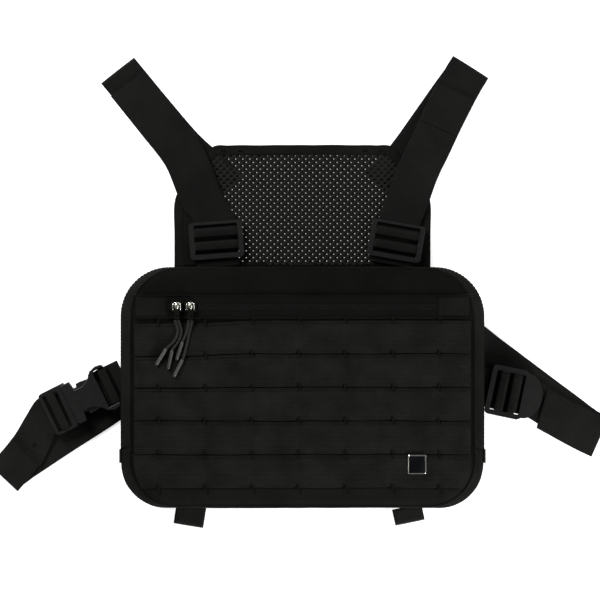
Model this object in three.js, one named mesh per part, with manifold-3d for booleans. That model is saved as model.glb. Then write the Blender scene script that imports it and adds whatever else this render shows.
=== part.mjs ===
// Chest bag with a mesh bib, two shoulder straps and a waist belt, lying on its back.
// Millimetres. +Z points out of the bag's front, +Y towards the shoulder straps, +X to the right.
// The origin is the middle of the back pad's outer face, which rests on z = 0.
import * as THREE from 'three';
import { mergeVertices } from 'three/addons/utils/BufferGeometryUtils.js';
import Module from 'manifold-3d';

const wasm = await Module();
wasm.setup();

// ---- driving dimensions ----
const gap = 0.3; // between pieces that touch

// Bag
const bagWidth = 280; // front panel, seam to seam
const bagHeight = 194;
const bagDepth = 65; // rest surface to the front panel's face
const sideBulge = 10; // how far the gusset swells past the seams
const topBulge = 1;
const bottomBulge = 4;
const topCornerRadius = 40;
const bottomCornerRadius = 36;
const fabricWall = 2;
const panelThickness = 3;
const padThickness = 2.6;
const padWidth = 256;
const padHeight = 184;
const zipEndY = -49.5; // where the main zip stops on each side
const zipTape = 4; // width of each half of the main zip

// Webbing
const webThickness = 1.4;
const beltWidth = 32;
const shoulderWidth = 35;
const loopWidth = 25;

// Ladder webbing field and pocket zip on the front
const ladderTop = 54.7;
const ladderPitch = 27.4;
const ladderRows = 5;
const lidRows = 4;
const ladderThickness = 1.6;
const ladderMargin = 3; // from the panel's seam
const pocketZipY = 65.3;
const pocketZipHalf = 109;
const pocketTapeHeight = 14;
const coilWidth = 5;
const coilHeight = 1.8;
const tapeHeight = 0.8;
const liningWidth = 252;
const liningHeight = 118;
const badgeWidth = 14.7;
const badgeHeight = 15.6;
const badgeX = 93.3;
const badgeY = -62.9;

// Zip sliders, pulls and their cords
const sliderLength = 9;
const sliderWidth = 8;
const sliderHeight = 3;
const pocketPullLength = 8;
const mainPullLength = 10.5;
const pullWidth = 4.4;
const pullThickness = 1;
const cordDiameter = 2.2;
const capDiameter = 3.4;
const capLength = 16;

// Bib
const bibWidth = 214;
const bibTopWidth = 158;
const bibStraight = 60; // height of the upright sides
const bibHeight = 103;
const bibBottomZ = 3;
const bibThickness = 2;
const bindingWidth = 9;
const bibHem = 4.5; // binding along the bag's top edge

// Ladder locks: bars and rims along the webbing, measured from the middle of the lock
const lockLength = 31;
const lockThickness = 3.5;
const barThickness = 3;
const barWidth = 5;
const strapBarY = 6.4;
const anchorBarY = -4.6;
const strapRim = 2.4;
const anchorRim = 4.1;
const railWidth = 4.2;
const tensionerTab = 14;

// Side-release buckle, measured from the male end along its axis
const buckleWidth = 35;
const buckleThickness = 10;
const maleFrameLength = 17.5;
const buckleMouth = 18;
const femaleLength = 39;
const channelHalf = 14;
const channelHeight = 5.2;
const channelLength = 27;
const prongLength = 26;
const prongThickness = 4;
const prongInner = 8; // from the buckle's axis to the prong's inner face
const prongRoot = 11; // and to its outer face at the root
const guideLength = 22; // tongue between the prongs
const guideWidth = 8;
const maleLip = 2.5; // of the male frame, past its first slot
const maleRim = 3.9; // between its second slot and the prongs

// ---- derived levels ----
const halfWidth = bagWidth / 2;
const halfHeight = bagHeight / 2;
const beltZ = padThickness + gap + webThickness / 2;
const backWallBottom = padThickness + webThickness + 2 * gap;
const backWallTop = backWallBottom + panelThickness;
const panelBottom = bagDepth - panelThickness;
const ladderBottom = bagDepth + gap;
const ladderFace = ladderBottom + ladderThickness;
const zipPlane = (backWallTop + panelBottom) / 2;
const hingeY = ladderTop - lidRows * ladderPitch;
const floorWebZ = gap + webThickness / 2; // webbing that lies on the rest surface
const secondWebZ = floorWebZ + webThickness + gap;
const loadDrop = 4.7; // lock's middle plane to the webbing that leaves under its rim
const tailDrop = loadDrop - webThickness - gap;

const fabric = new THREE.MeshStandardMaterial({ color: 0x1c1c1b, roughness: 0.9 });
const webbingCloth = new THREE.MeshStandardMaterial({ color: 0x191918, roughness: 0.8 });
const meshCloth = new THREE.MeshStandardMaterial({ color: 0x262625, roughness: 0.85 });
const plastic = new THREE.MeshStandardMaterial({ color: 0x111110, roughness: 0.45 });
const steel = new THREE.MeshStandardMaterial({ color: 0x9a9a98, roughness: 0.3, metalness: 1 });

const bag = new THREE.Group();

function addMesh(name, geometry, material, parent = bag) {
  const mesh = new THREE.Mesh(geometry, material);
  mesh.name = name;
  parent.add(mesh);
  return mesh;
}

// ---- solid helpers ----

function toSolid(geometry) {
  let bare = geometry.clone();
  bare.deleteAttribute('normal');
  bare.deleteAttribute('uv');
  bare = mergeVertices(bare, 1e-4);
  const vertProperties = new Float32Array(bare.attributes.position.array);
  const triVerts = new Uint32Array(bare.index.array);
  return new wasm.Manifold(new wasm.Mesh({ numProp: 3, vertProperties, triVerts }));
}

function toGeometry(solid) {
  const mesh = solid.getMesh();
  const geometry = new THREE.BufferGeometry();
  geometry.setAttribute('position', new THREE.BufferAttribute(new Float32Array(mesh.vertProperties), 3));
  geometry.setIndex(new THREE.BufferAttribute(new Uint32Array(mesh.triVerts), 1));
  geometry.computeVertexNormals();
  return geometry;
}

function box(x0, x1, y0, y1, z0, z1) {
  const geometry = new THREE.BoxGeometry(x1 - x0, y1 - y0, z1 - z0);
  return geometry.translate((x0 + x1) / 2, (y0 + y1) / 2, (z0 + z1) / 2);
}

function slab(points, z0, z1, holes = []) {
  const shape = new THREE.Shape(points);
  const geometry = new THREE.ExtrudeGeometry(shape, { depth: z1 - z0, bevelEnabled: false, steps: 1 });
  geometry.translate(0, 0, z0);
  if (holes.length === 0) {
    return geometry;
  }
  let body = toSolid(geometry);
  for (const hole of holes) {
    body = body.subtract(toSolid(slab(hole, z0 - 1, z1 + 1)));
  }
  return toGeometry(body);
}

// A closed wall between two grids of points of the same size.
function wallBetween(outer, inner) {
  const rows = outer.length;
  const columns = outer[0].length;
  const positions = [];
  for (const grid of [outer, inner]) {
    for (const row of grid) {
      for (const point of row) {
        positions.push(point.x, point.y, point.z);
      }
    }
  }
  const at = (side, i, j) => side * rows * columns + i * columns + j;
  const index = [];
  const quad = (a, b, c, d) => index.push(a, b, c, a, c, d);
  for (let i = 0; i < rows - 1; i++) {
    for (let j = 0; j < columns - 1; j++) {
      quad(at(0, i, j), at(0, i + 1, j), at(0, i + 1, j + 1), at(0, i, j + 1));
      quad(at(1, i, j), at(1, i, j + 1), at(1, i + 1, j + 1), at(1, i + 1, j));
    }
    quad(at(0, i, 0), at(1, i, 0), at(1, i + 1, 0), at(0, i + 1, 0));
    quad(at(0, i + 1, columns - 1), at(1, i + 1, columns - 1), at(1, i, columns - 1), at(0, i, columns - 1));
  }
  for (let j = 0; j < columns - 1; j++) {
    quad(at(0, 0, j), at(0, 0, j + 1), at(1, 0, j + 1), at(1, 0, j));
    quad(at(0, rows - 1, j + 1), at(0, rows - 1, j), at(1, rows - 1, j), at(1, rows - 1, j + 1));
  }
  if (signedVolume(positions, index) < 0) {
    index.reverse();
  }
  const geometry = new THREE.BufferGeometry();
  geometry.setAttribute('position', new THREE.Float32BufferAttribute(positions, 3));
  geometry.setIndex(index);
  geometry.computeVertexNormals();
  return geometry;
}

function signedVolume(positions, index) {
  const corner = (k) => new THREE.Vector3().fromArray(positions, 3 * index[k]);
  let volume = 0;
  for (let k = 0; k < index.length; k += 3) {
    volume += corner(k).dot(corner(k + 1).cross(corner(k + 2)));
  }
  return volume;
}

// Flat webbing along keys [x, y, z, angle of its width in the XY plane in degrees].
function webbing(keys, width, stepsPerKey = 3) {
  const path = new THREE.CatmullRomCurve3(keys.map(([x, y, z]) => new THREE.Vector3(x, y, z)));
  const turn = new THREE.CatmullRomCurve3(keys.map((key) => new THREE.Vector3(key[3], 0, 0)));
  const steps = (keys.length - 1) * stepsPerKey;
  const top = [];
  const bottom = [];
  for (let i = 0; i <= steps; i++) {
    const centre = path.getPoint(i / steps);
    const angle = THREE.MathUtils.degToRad(turn.getPoint(i / steps).x);
    const across = new THREE.Vector3(Math.cos(angle), Math.sin(angle), 0);
    const up = path.getTangent(i / steps).cross(across).normalize();
    const half = across.clone().multiplyScalar(width / 2);
    const lift = up.multiplyScalar(webThickness / 2);
    top.push([centre.clone().add(half).add(lift), centre.clone().sub(half).add(lift)]);
    bottom.push([centre.clone().add(half).sub(lift), centre.clone().sub(half).sub(lift)]);
  }
  return wallBetween(top, bottom);
}

// Keys of a flat fold whose crest is at (x, y); the webbing arrives heading `heading` degrees at
// height zIn and leaves the way it came at height zOut.
function foldKeys(x, y, heading, widthAngle, zIn, zOut, lead) {
  const radius = Math.abs(zIn - zOut) / 2;
  const middle = (zIn + zOut) / 2;
  const side = Math.sign(zIn - zOut);
  const angle = THREE.MathUtils.degToRad(heading);
  const at = (back, z) => [x - back * Math.cos(angle), y - back * Math.sin(angle), z, widthAngle];
  const keys = [at(radius + lead, zIn), at(radius + 1, zIn)];
  for (const degrees of [60, 20, -20, -60]) {
    const turn = THREE.MathUtils.degToRad(degrees);
    keys.push(at(radius * (1 - Math.cos(turn)), middle + side * radius * Math.sin(turn)));
  }
  keys.push(at(radius + 1, zOut), at(radius + lead, zOut));
  return keys;
}

// Keys, along y and z, of webbing wrapped round a bar. Both ends leave towards `direction`:
// the load end low down, the tail end just above it.
function wrapKeys(barY, direction, reachLoad, reachTail) {
  const offset = gap + webThickness / 2;
  const corner = 0.72 * offset;
  const side = barWidth / 2;
  const low = barThickness / 2;
  const high = low + offset;
  const along = [
    [reachLoad, -loadDrop], [side + 4.6, -loadDrop + 0.1], [side + 2.3, -loadDrop + 0.8],
    [side, -high - 0.1], [-side, -high], [-side - corner, -low - corner],
    [-side - offset, -low], [-side - offset, low],
    [-side - corner, low + corner], [-side, high], [side, high], [side + corner, low + corner],
    [side + offset, low - 0.3], [side + offset + 0.4, -0.6], [side + 2.7, -loadDrop + 2.5],
    [side + 4.6, -tailDrop + 0.15], [reachTail, -tailDrop],
  ];
  return along.map(([reach, z]) => [0, barY + direction * reach, z, 0]);
}

// ---- bag shell ----

function arc(centreX, centreY, radius, fromDegrees, toDegrees, steps) {
  const points = [];
  for (let i = 0; i <= steps; i++) {
    const angle = THREE.MathUtils.degToRad(fromDegrees + ((toDegrees - fromDegrees) * i) / steps);
    points.push(new THREE.Vector2(centreX + radius * Math.cos(angle), centreY + radius * Math.sin(angle)));
  }
  return points;
}

// The bag's outline above the zip ends, from the left side over the top to the right side.
function upperOutline(side, top, inset, endY) {
  const x = halfWidth + side - inset;
  const y = halfHeight + top - inset;
  const radius = topCornerRadius - inset;
  return [
    new THREE.Vector2(-x, endY),
    new THREE.Vector2(-x, (endY + y - radius) / 2),
    ...arc(radius - x, y - radius, radius, 180, 90, 8),
    new THREE.Vector2(0, y),
    ...arc(x - radius, y - radius, radius, 90, 0, 8),
    new THREE.Vector2(x, (endY + y - radius) / 2),
    new THREE.Vector2(x, endY),
  ];
}

// The bag's outline below the zip ends, from the right side under the bottom to the left side.
function lowerOutline(side, bottom, inset, endY) {
  const x = halfWidth + side - inset;
  const y = halfHeight + bottom - inset;
  const radius = bottomCornerRadius - inset;
  return [
    new THREE.Vector2(x, endY),
    ...arc(x - radius, radius - y, radius, 0, -90, 8),
    new THREE.Vector2(0, -y),
    ...arc(radius - x, radius - y, radius, -90, -180, 8),
    new THREE.Vector2(-x, endY),
  ];
}

function swell(z) {
  return Math.sin((Math.PI * (z - backWallTop)) / (panelBottom - backWallTop));
}

function gusset(outline, capBulge, endY, z0, z1, levels) {
  const grid = (inset) => {
    const columns = [];
    for (let level = 0; level <= levels; level++) {
      const z = z0 + ((z1 - z0) * level) / levels;
      const amount = swell(z);
      const points = outline(sideBulge * amount, capBulge * amount, inset, endY);
      columns.push(points.map((point) => new THREE.Vector3(point.x, point.y, z)));
    }
    return columns[0].map((_, i) => columns.map((column) => column[i]));
  };
  return wallBetween(grid(0), grid(fabricWall));
}

function roundedRectangle(width, height, radius, x = 0, y = 0, steps = 4) {
  const right = width / 2 - radius;
  const top = height / 2 - radius;
  return [
    ...arc(x + right, y + top, radius, 0, 90, steps),
    ...arc(x - right, y + top, radius, 90, 180, steps),
    ...arc(x - right, y - top, radius, 180, 270, steps),
    ...arc(x + right, y - top, radius, 270, 360, steps),
  ];
}

function buildShell() {
  addMesh('back_pad', slab(roundedRectangle(padWidth, padHeight, 30, 0, 0, 6), 0, padThickness), fabric);
  const upper = upperOutline(0, 0, 0, 0);
  const lower = lowerOutline(0, 0, 0, 0);
  const wallOutline = [...upper.slice(1, -1), ...lower.slice(1, -1)];
  addMesh('back_wall', slab(wallOutline, backWallBottom, backWallTop), fabric);

  const gussetBottom = backWallTop + gap;
  const gussetTop = panelBottom - gap;
  const rearZipEdge = zipPlane - gap / 2;
  const lidZipEdge = zipPlane + gap / 2;
  const lidEndY = zipEndY + gap / 2;
  const lowerEndY = zipEndY - gap / 2;
  const rearGusset = gusset(upperOutline, topBulge, lidEndY, gussetBottom, rearZipEdge - zipTape - gap, 4);
  addMesh('rear_gusset', rearGusset, fabric);
  addMesh('rear_zip', gusset(upperOutline, topBulge, lidEndY, rearZipEdge - zipTape, rearZipEdge, 1), fabric);
  addMesh('lid_zip', gusset(upperOutline, topBulge, lidEndY, lidZipEdge, lidZipEdge + zipTape, 1), fabric);
  addMesh('lid_gusset', gusset(upperOutline, topBulge, lidEndY, lidZipEdge + zipTape + gap, gussetTop, 4), fabric);
  addMesh('lower_gusset', gusset(lowerOutline, bottomBulge, lowerEndY, gussetBottom, gussetTop, 6), fabric);

  const upperPanel = upperOutline(0, 0, 0, hingeY + gap / 2);
  addMesh('front_panel_upper', slab([...upperPanel].reverse(), panelBottom, bagDepth), fabric);
  const lowerPanel = lowerOutline(0, 0, 0, hingeY - gap / 2);
  addMesh('front_panel_lower', slab([...lowerPanel].reverse(), panelBottom, bagDepth), fabric);
  const liningY = ladderTop + 14 - liningHeight / 2;
  const liningTop = panelBottom - gap;
  const lining = slab(roundedRectangle(liningWidth, liningHeight, 8, 0, liningY), liningTop - 1, liningTop);
  addMesh('pocket_lining', lining, fabric);
}

// ---- front of the bag ----

function buildFront() {
  for (let row = 1; row <= ladderRows; row++) {
    const top = ladderTop - (row - 1) * ladderPitch - gap;
    const bottom = ladderTop - row * ladderPitch + gap;
    const corner = row === ladderRows ? 10 : 0;
    const half = halfWidth - ladderMargin - corner;
    addMesh(`ladder_row_${row}`, box(-half, half, bottom, top, ladderBottom, ladderFace), webbingCloth);
  }

  const tape = box(
    -pocketZipHalf, pocketZipHalf,
    pocketZipY - pocketTapeHeight / 2, pocketZipY + pocketTapeHeight / 2,
    ladderBottom, ladderBottom + tapeHeight,
  );
  const coil = box(
    -pocketZipHalf, pocketZipHalf,
    pocketZipY - coilWidth / 2, pocketZipY + coilWidth / 2,
    ladderBottom, ladderBottom + coilHeight,
  );
  addMesh('pocket_zip', toGeometry(toSolid(tape).add(toSolid(coil))), fabric);

  const badge = slab(
    roundedRectangle(badgeWidth, badgeHeight, 1, badgeX, badgeY),
    ladderFace + gap, ladderFace + gap + 1,
  );
  addMesh('badge', badge, steel);
}

// A zip slider over a coil that runs along x, with a bridge on top for its pull.
function sliderSolid() {
  const body = toSolid(box(-sliderLength / 2, sliderLength / 2, -sliderWidth / 2, sliderWidth / 2, 0, sliderHeight));
  const groove = box(
    -sliderLength, sliderLength,
    -coilWidth / 2 - gap, coilWidth / 2 + gap,
    -1, coilHeight - tapeHeight,
  );
  const bridge = toSolid(box(-2.6, 2.6, -1.6, 1.6, sliderHeight - 0.5, sliderHeight + 2.2));
  const eye = box(-3, 3, -1, 1, sliderHeight, sliderHeight + 1.6);
  return body.subtract(toSolid(groove)).add(bridge.subtract(toSolid(eye)));
}

// The pull lies from its pivot at the origin along -y, with a hole at its far end.
function pullGeometry(length) {
  const outline = roundedRectangle(pullWidth, length, 1.4, 0, -length / 2 - 0.3, 3);
  const hole = roundedRectangle(2, 2.4, 0.9, 0, -length + 1.8, 3);
  return slab(outline, -pullThickness / 2, pullThickness / 2, [hole]);
}

function tubeAlong(points, diameter) {
  const curve = new THREE.CatmullRomCurve3(points.map((point) => new THREE.Vector3(...point)));
  const section = new THREE.Shape(arc(0, 0, diameter / 2, 0, 315, 7));
  return new THREE.ExtrudeGeometry(section, { steps: 18, bevelEnabled: false, extrudePath: curve });
}

function capBetween(start, heading) {
  const radius = capDiameter / 2;
  const profile = [
    [0, 0], [radius * 0.8, 0], [radius, 1.2], [radius, capLength - 1.5], [radius * 0.7, capLength], [0, capLength],
  ];
  const geometry = new THREE.LatheGeometry(profile.map(([r, y]) => new THREE.Vector2(r, y)), 10);
  geometry.rotateZ(THREE.MathUtils.degToRad(heading - 90));
  return geometry.translate(...start);
}

const cordZ = ladderFace + gap + cordDiameter / 2;
const capZ = ladderFace + gap + capDiameter / 2;
const pullZ = ladderBottom + tapeHeight + gap + sliderHeight + 0.9;
const pocketSliders = {
  left: { x: -102.4, y: pocketZipY },
  right: { x: -91.2, y: pocketZipY },
};
// Each cord hangs from a pull's hole and ends in a cap with its own heading in degrees.
const cords = {
  left_outer: {
    points: [[-103.8, 54.5, pullZ - 0.3], [-102.6, 50.4, cordZ + 0.9], [-101.4, 45.5, cordZ],
      [-104.6, 37.5, cordZ], [-110.6, 31.8, cordZ + 0.3]],
    heading: 238,
  },
  left_inner: {
    points: [[-101, 54.5, pullZ - 0.3], [-99.8, 50.4, cordZ + 0.9], [-98.5, 45.5, cordZ],
      [-101.2, 36.8, cordZ], [-106, 30.6, cordZ + 0.3]],
    heading: 258,
  },
  right_outer: {
    points: [[-92.6, 54.5, pullZ - 0.3], [-93.3, 50.4, cordZ + 0.9], [-94.2, 46, cordZ],
      [-95.6, 41.8, cordZ], [-97.5, 37.6, cordZ + 0.3]],
    heading: 252,
  },
  right_inner: {
    points: [[-89.8, 54.5, pullZ - 0.3], [-90.6, 50.4, cordZ + 0.9], [-91.8, 46.2, cordZ],
      [-94.2, 34.6, cordZ], [-97.4, 23, cordZ + 0.3]],
    heading: 243,
  },
};

function buildPocketPulls() {
  for (const [side, place] of Object.entries(pocketSliders)) {
    const body = toGeometry(sliderSolid());
    const slider = addMesh(`pocket_slider_${side}`, body, steel);
    slider.position.set(place.x, place.y, ladderBottom + tapeHeight + gap);
    const pull = addMesh(`pocket_pull_${side}`, pullGeometry(pocketPullLength), steel);
    pull.position.set(place.x, place.y - 1.6 - gap, pullZ);
  }
  for (const [name, cord] of Object.entries(cords)) {
    addMesh(`cord_${name}`, tubeAlong(cord.points, cordDiameter), webbingCloth);
    const [x, y] = cord.points.at(-1);
    const angle = THREE.MathUtils.degToRad(cord.heading);
    const start = [x + 2 * gap * Math.cos(angle), y + 2 * gap * Math.sin(angle), capZ];
    addMesh(`cord_cap_${name}`, capBetween(start, cord.heading), plastic);
  }
}

function buildMainSliders() {
  const face = halfHeight + topBulge + gap;
  for (const [side, sign] of [['left', -1], ['right', 1]]) {
    const x = sign * (sliderLength / 2 + gap);
    const half = sliderWidth / 2;
    const body = toSolid(box(-sliderLength / 2, sliderLength / 2, 0, 2.2, -half, half));
    const bridge = toSolid(box(-1.2, 1.2, 2, 4, -2.4, 1.6));
    const slider = addMesh(`main_slider_${side}`, toGeometry(body.add(bridge)), steel);
    slider.position.set(x, face, zipPlane);
    const pull = addMesh(`main_pull_${side}`, pullGeometry(mainPullLength), steel);
    pull.rotation.x = Math.PI / 2;
    pull.position.set(x, face + 3.2, zipPlane - 2.4 - gap);
  }
}

// ---- bib ----

function bibOutline(inset, bottomInset) {
  const slope = Math.atan2(bibHeight - bibStraight, (bibWidth - bibTopWidth) / 2);
  const bottom = halfHeight + gap;
  const top = bottom + bibHeight - inset;
  const side = bibWidth / 2 - inset;
  const shoulderY = bottom + bibStraight - inset * Math.tan(Math.PI / 4 - slope / 2);
  const topX = side - (top - shoulderY) / Math.tan(slope);
  return [
    new THREE.Vector2(side, bottom + bottomInset),
    new THREE.Vector2(side, shoulderY),
    new THREE.Vector2(topX + 1, top - 3),
    new THREE.Vector2(topX - 4, top),
    new THREE.Vector2(4 - topX, top),
    new THREE.Vector2(-topX - 1, top - 3),
    new THREE.Vector2(-side, shoulderY),
    new THREE.Vector2(-side, bottom + bottomInset),
  ];
}

function buildBib() {
  const outer = bibOutline(0, 0);
  const window = bibOutline(bindingWidth, bibHem);
  const top = bibBottomZ + bibThickness;
  addMesh('bib_binding', slab(outer, bibBottomZ, top, [window]), fabric);
  addMesh('bib_mesh', slab(bibOutline(bindingWidth + gap, bibHem + gap), bibBottomZ, top), meshCloth);
}

// ---- ladder locks ----

// The lock lies with its webbing leaving towards +y and its anchor towards -y.
function lockFrame(width, slotWidth, tab) {
  const half = lockLength / 2;
  const slot = (y0, y1) => roundedRectangle(slotWidth, y1 - y0, 0.8, 0, (y0 + y1) / 2, 2);
  const slots = [
    slot(strapBarY + barWidth / 2, half - strapRim),
    slot(anchorBarY + barWidth / 2, strapBarY - barWidth / 2),
    slot(anchorRim - half, anchorBarY - barWidth / 2),
  ];
  let outline = roundedRectangle(width, lockLength, 3.5);
  if (tab > 0) {
    const shoulder = width / 2 - 2;
    const round = new THREE.EllipseCurve(0, half, shoulder, tab, 0, Math.PI).getPoints(14);
    outline = [
      ...round,
      new THREE.Vector2(-width / 2, half - 3),
      ...arc(3.5 - width / 2, 3.5 - half, 3.5, 180, 270, 4),
      ...arc(width / 2 - 3.5, 3.5 - half, 3.5, 270, 360, 4),
      new THREE.Vector2(width / 2, half - 3),
    ];
  }
  return slab(outline, -lockThickness / 2, lockThickness / 2, slots);
}

// A lock at (x, y) turned by `turn` degrees; its parts are the frame, the anchor webbing that is
// sewn at seamDistance from the lock's middle, and the strap's wrap round the other bar.
function buildLock(name, lock) {
  const group = new THREE.Group();
  group.position.set(lock.x, lock.y, lock.webZ + loadDrop);
  group.rotation.z = THREE.MathUtils.degToRad(lock.turn);
  bag.add(group);
  const slotWidth = lock.webWidth + 1.4;
  addMesh(name, lockFrame(slotWidth + 2 * railWidth, slotWidth, lock.tab), plastic, group);
  const seam = lock.seamDistance + anchorBarY;
  const anchor = webbing(wrapKeys(anchorBarY, -1, seam, seam), lock.webWidth);
  addMesh(`${name}_anchor`, anchor, webbingCloth, group);
  const wrap = webbing(wrapKeys(strapBarY, 1, strapReach, strapReach), lock.webWidth);
  addMesh(`${name}_wrap`, wrap, webbingCloth, group);
}

const strapReach = 10.6; // from the strap's bar to where the wrap meets the strap

function seamReach(lock, seamLine) {
  const angle = THREE.MathUtils.degToRad(lock.turn);
  const drop = seamLine - (lock.webWidth / 2) * Math.abs(Math.sin(angle));
  return drop / Math.cos(angle);
}

// A point of a lock's strap side, `out` past the wrap's end.
function strapStart(lock, out, z) {
  const angle = THREE.MathUtils.degToRad(lock.turn);
  const reach = strapBarY + strapReach + out;
  return [lock.x - reach * Math.sin(angle), lock.y + reach * Math.cos(angle), z];
}

const shoulderWebZ = bibBottomZ + bibThickness + gap + webThickness / 2;
const topSeamY = halfHeight + gap;
const shoulderLocks = {
  left: { x: -71.8, y: halfHeight + 24.1, turn: 4.3, webWidth: shoulderWidth, webZ: shoulderWebZ, tab: 0 },
  right: { x: 78.1, y: halfHeight + 23.3, turn: -10, webWidth: shoulderWidth, webZ: shoulderWebZ, tab: 0 },
};
const tensioner = {
  x: halfWidth + 30.6, y: -5.8, turn: -102, webWidth: beltWidth, webZ: secondWebZ, tab: tensionerTab,
};

// ---- shoulder straps ----

const underBibZ = bibBottomZ - gap - webThickness / 2;
const tailZ = shoulderWebZ + webThickness + gap;
// Front: keys from the lock up to the fold. Back: keys from the fold to the end sewn under the bib.
const shoulderStraps = {
  left: {
    front: [[-83, 153, 16], [-91, 173, 22], [-99.8, 193, 32], [-117, 215.5, 38]],
    fold: { x: -154.1, y: 262.2, heading: 130, widthAngle: 38.2 },
    back: [[-120, 221, 39], [-100, 198, 41], [-80, 179.5, 45], [-62.2, 163.7, 48]],
    tailEnd: [-146, 251.5, 38.2],
  },
  right: {
    front: [[88.2, 156, -17], [96.4, 178.7, -21], [107, 201, -24], [116.4, 221, -24]],
    fold: { x: 140.3, y: 265.1, heading: 58, widthAngle: -32 },
    back: [[124, 241, -34], [106, 215.5, -36], [87.1, 189.2, -37], [66.4, 166.2, -42]],
    tailEnd: [128.2, 245, -24],
  },
};

function buildShoulder(side) {
  const lock = shoulderLocks[side];
  const strap = shoulderStraps[side];
  lock.seamDistance = seamReach(lock, lock.y - topSeamY - gap);
  buildLock(`shoulder_lock_${side}`, lock);
  const { x, y, heading, widthAngle } = strap.fold;
  const onPath = (z) => ([px, py, angle]) => [px, py, z, angle];
  const keys = [
    [...strapStart(lock, gap, shoulderWebZ), lock.turn],
    ...strap.front.map(onPath(shoulderWebZ)),
    ...foldKeys(x, y, heading, widthAngle, shoulderWebZ, underBibZ, 10),
    ...strap.back.map(onPath(underBibZ)),
  ];
  addMesh(`shoulder_strap_${side}`, webbing(keys, shoulderWidth), webbingCloth);
  const tail = [
    [...strapStart(lock, gap, tailZ), lock.turn],
    ...strap.front.map(onPath(tailZ)),
    onPath(tailZ)(strap.tailEnd),
  ];
  addMesh(`shoulder_tail_${side}`, webbing(tail, shoulderWidth), webbingCloth);
}

// ---- waist belt ----

const buckle = { x: -halfWidth - 70.3, y: -24.4, turn: 26.2, webZ: backWallBottom + webThickness / 2 };
const maleBarX = 7.1;
const femaleBarX = buckleMouth + femaleLength - barWidth / 2;

function buckleGroup() {
  const group = new THREE.Group();
  group.position.set(buckle.x, buckle.y, buckle.webZ + loadDrop);
  group.rotation.z = THREE.MathUtils.degToRad(buckle.turn);
  bag.add(group);
  return group;
}

function buildMale(group) {
  const slotHalf = beltWidth / 2 + 0.6;
  const slot = (x0, x1) => [
    new THREE.Vector2(x0, -slotHalf), new THREE.Vector2(x1, -slotHalf),
    new THREE.Vector2(x1, slotHalf), new THREE.Vector2(x0, slotHalf),
  ];
  const outline = roundedRectangle(
    maleFrameLength + maleLip, 2 * slotHalf + 4, 2.5, (maleFrameLength - maleLip) / 2, 0, 3,
  );
  const slots = [slot(gap, maleBarX - barWidth / 2), slot(maleBarX + barWidth / 2, maleFrameLength - maleRim)];
  const frame = toSolid(slab(outline, -lockThickness / 2, lockThickness / 2, slots));
  const guide = toSolid(box(
    maleFrameLength - 0.5, buckleMouth + guideLength,
    -guideWidth / 2, guideWidth / 2,
    -barThickness / 2, barThickness / 2,
  ));
  addMesh('buckle_male', toGeometry(frame.add(guide)), plastic, group);

  for (const [name, sign] of [['prong_upper', 1], ['prong_lower', -1]]) {
    const root = maleFrameLength + gap;
    const tip = root + prongLength;
    const outer = channelHalf - gap;
    const points = [
      [root, prongInner], [tip - 3, prongInner], [tip, prongInner + 2], [tip - 3, outer - 0.7],
      [tip - 9, outer], [tip - 13.5, outer], [tip - 14, prongRoot], [root, prongRoot],
    ];
    const shape = points.map(([px, py]) => new THREE.Vector2(px, sign * py));
    const outline = sign > 0 ? shape : shape.reverse();
    addMesh(name, slab(outline, -prongThickness / 2, prongThickness / 2), plastic, group);
  }
}

function buildFemale(group) {
  const end = buckleMouth + femaleLength;
  const half = buckleWidth / 2;
  const bite = new THREE.QuadraticBezierCurve(
    new THREE.Vector2(buckleMouth + 9, 9.6), new THREE.Vector2(buckleMouth + 20, 7), new THREE.Vector2(end - 12, half),
  ).getPoints(8);
  const upper = [
    new THREE.Vector2(buckleMouth, half - 1.5),
    new THREE.Vector2(buckleMouth + 1.5, half),
    new THREE.Vector2(buckleMouth + 8, half),
    ...bite,
    new THREE.Vector2(end - 6, half + 2),
    new THREE.Vector2(end - 1.5, half + 1.5),
    new THREE.Vector2(end, half),
  ];
  const lower = upper.map((point) => new THREE.Vector2(point.x, -point.y)).reverse();
  const high = buckleThickness / 2;
  const shell = toSolid(slab([...upper, ...lower].reverse(), -high, high));
  const channel = box(
    buckleMouth - 1, buckleMouth + channelLength,
    -channelHalf, channelHalf,
    -channelHeight / 2, channelHeight / 2,
  );
  const slotHalf = beltWidth / 2 + 0.4;
  const slot = box(end - barWidth - 4.5, end - barWidth, -slotHalf, slotHalf, -high - 1, high + 1);
  const barTop = barThickness / 2;
  const reliefHeight = high + 1 - barTop;
  let body = shell.subtract(toSolid(channel)).subtract(toSolid(slot));
  for (const z of [barTop, -high - 1]) { // the bar is thinner than the body, above and below
    const relief = box(end - barWidth - 1, end + 1, -slotHalf, slotHalf, z, z + reliefHeight);
    body = body.subtract(toSolid(relief));
  }
  addMesh('buckle_female', toGeometry(body), plastic, group);
}

// Webbing keys in a buckle's or lock's own frame, with y along its axis, as keys along x there.
function turnedToX(keys) {
  return keys.map(([, y, z]) => [y, 0, z, 90]);
}

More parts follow.
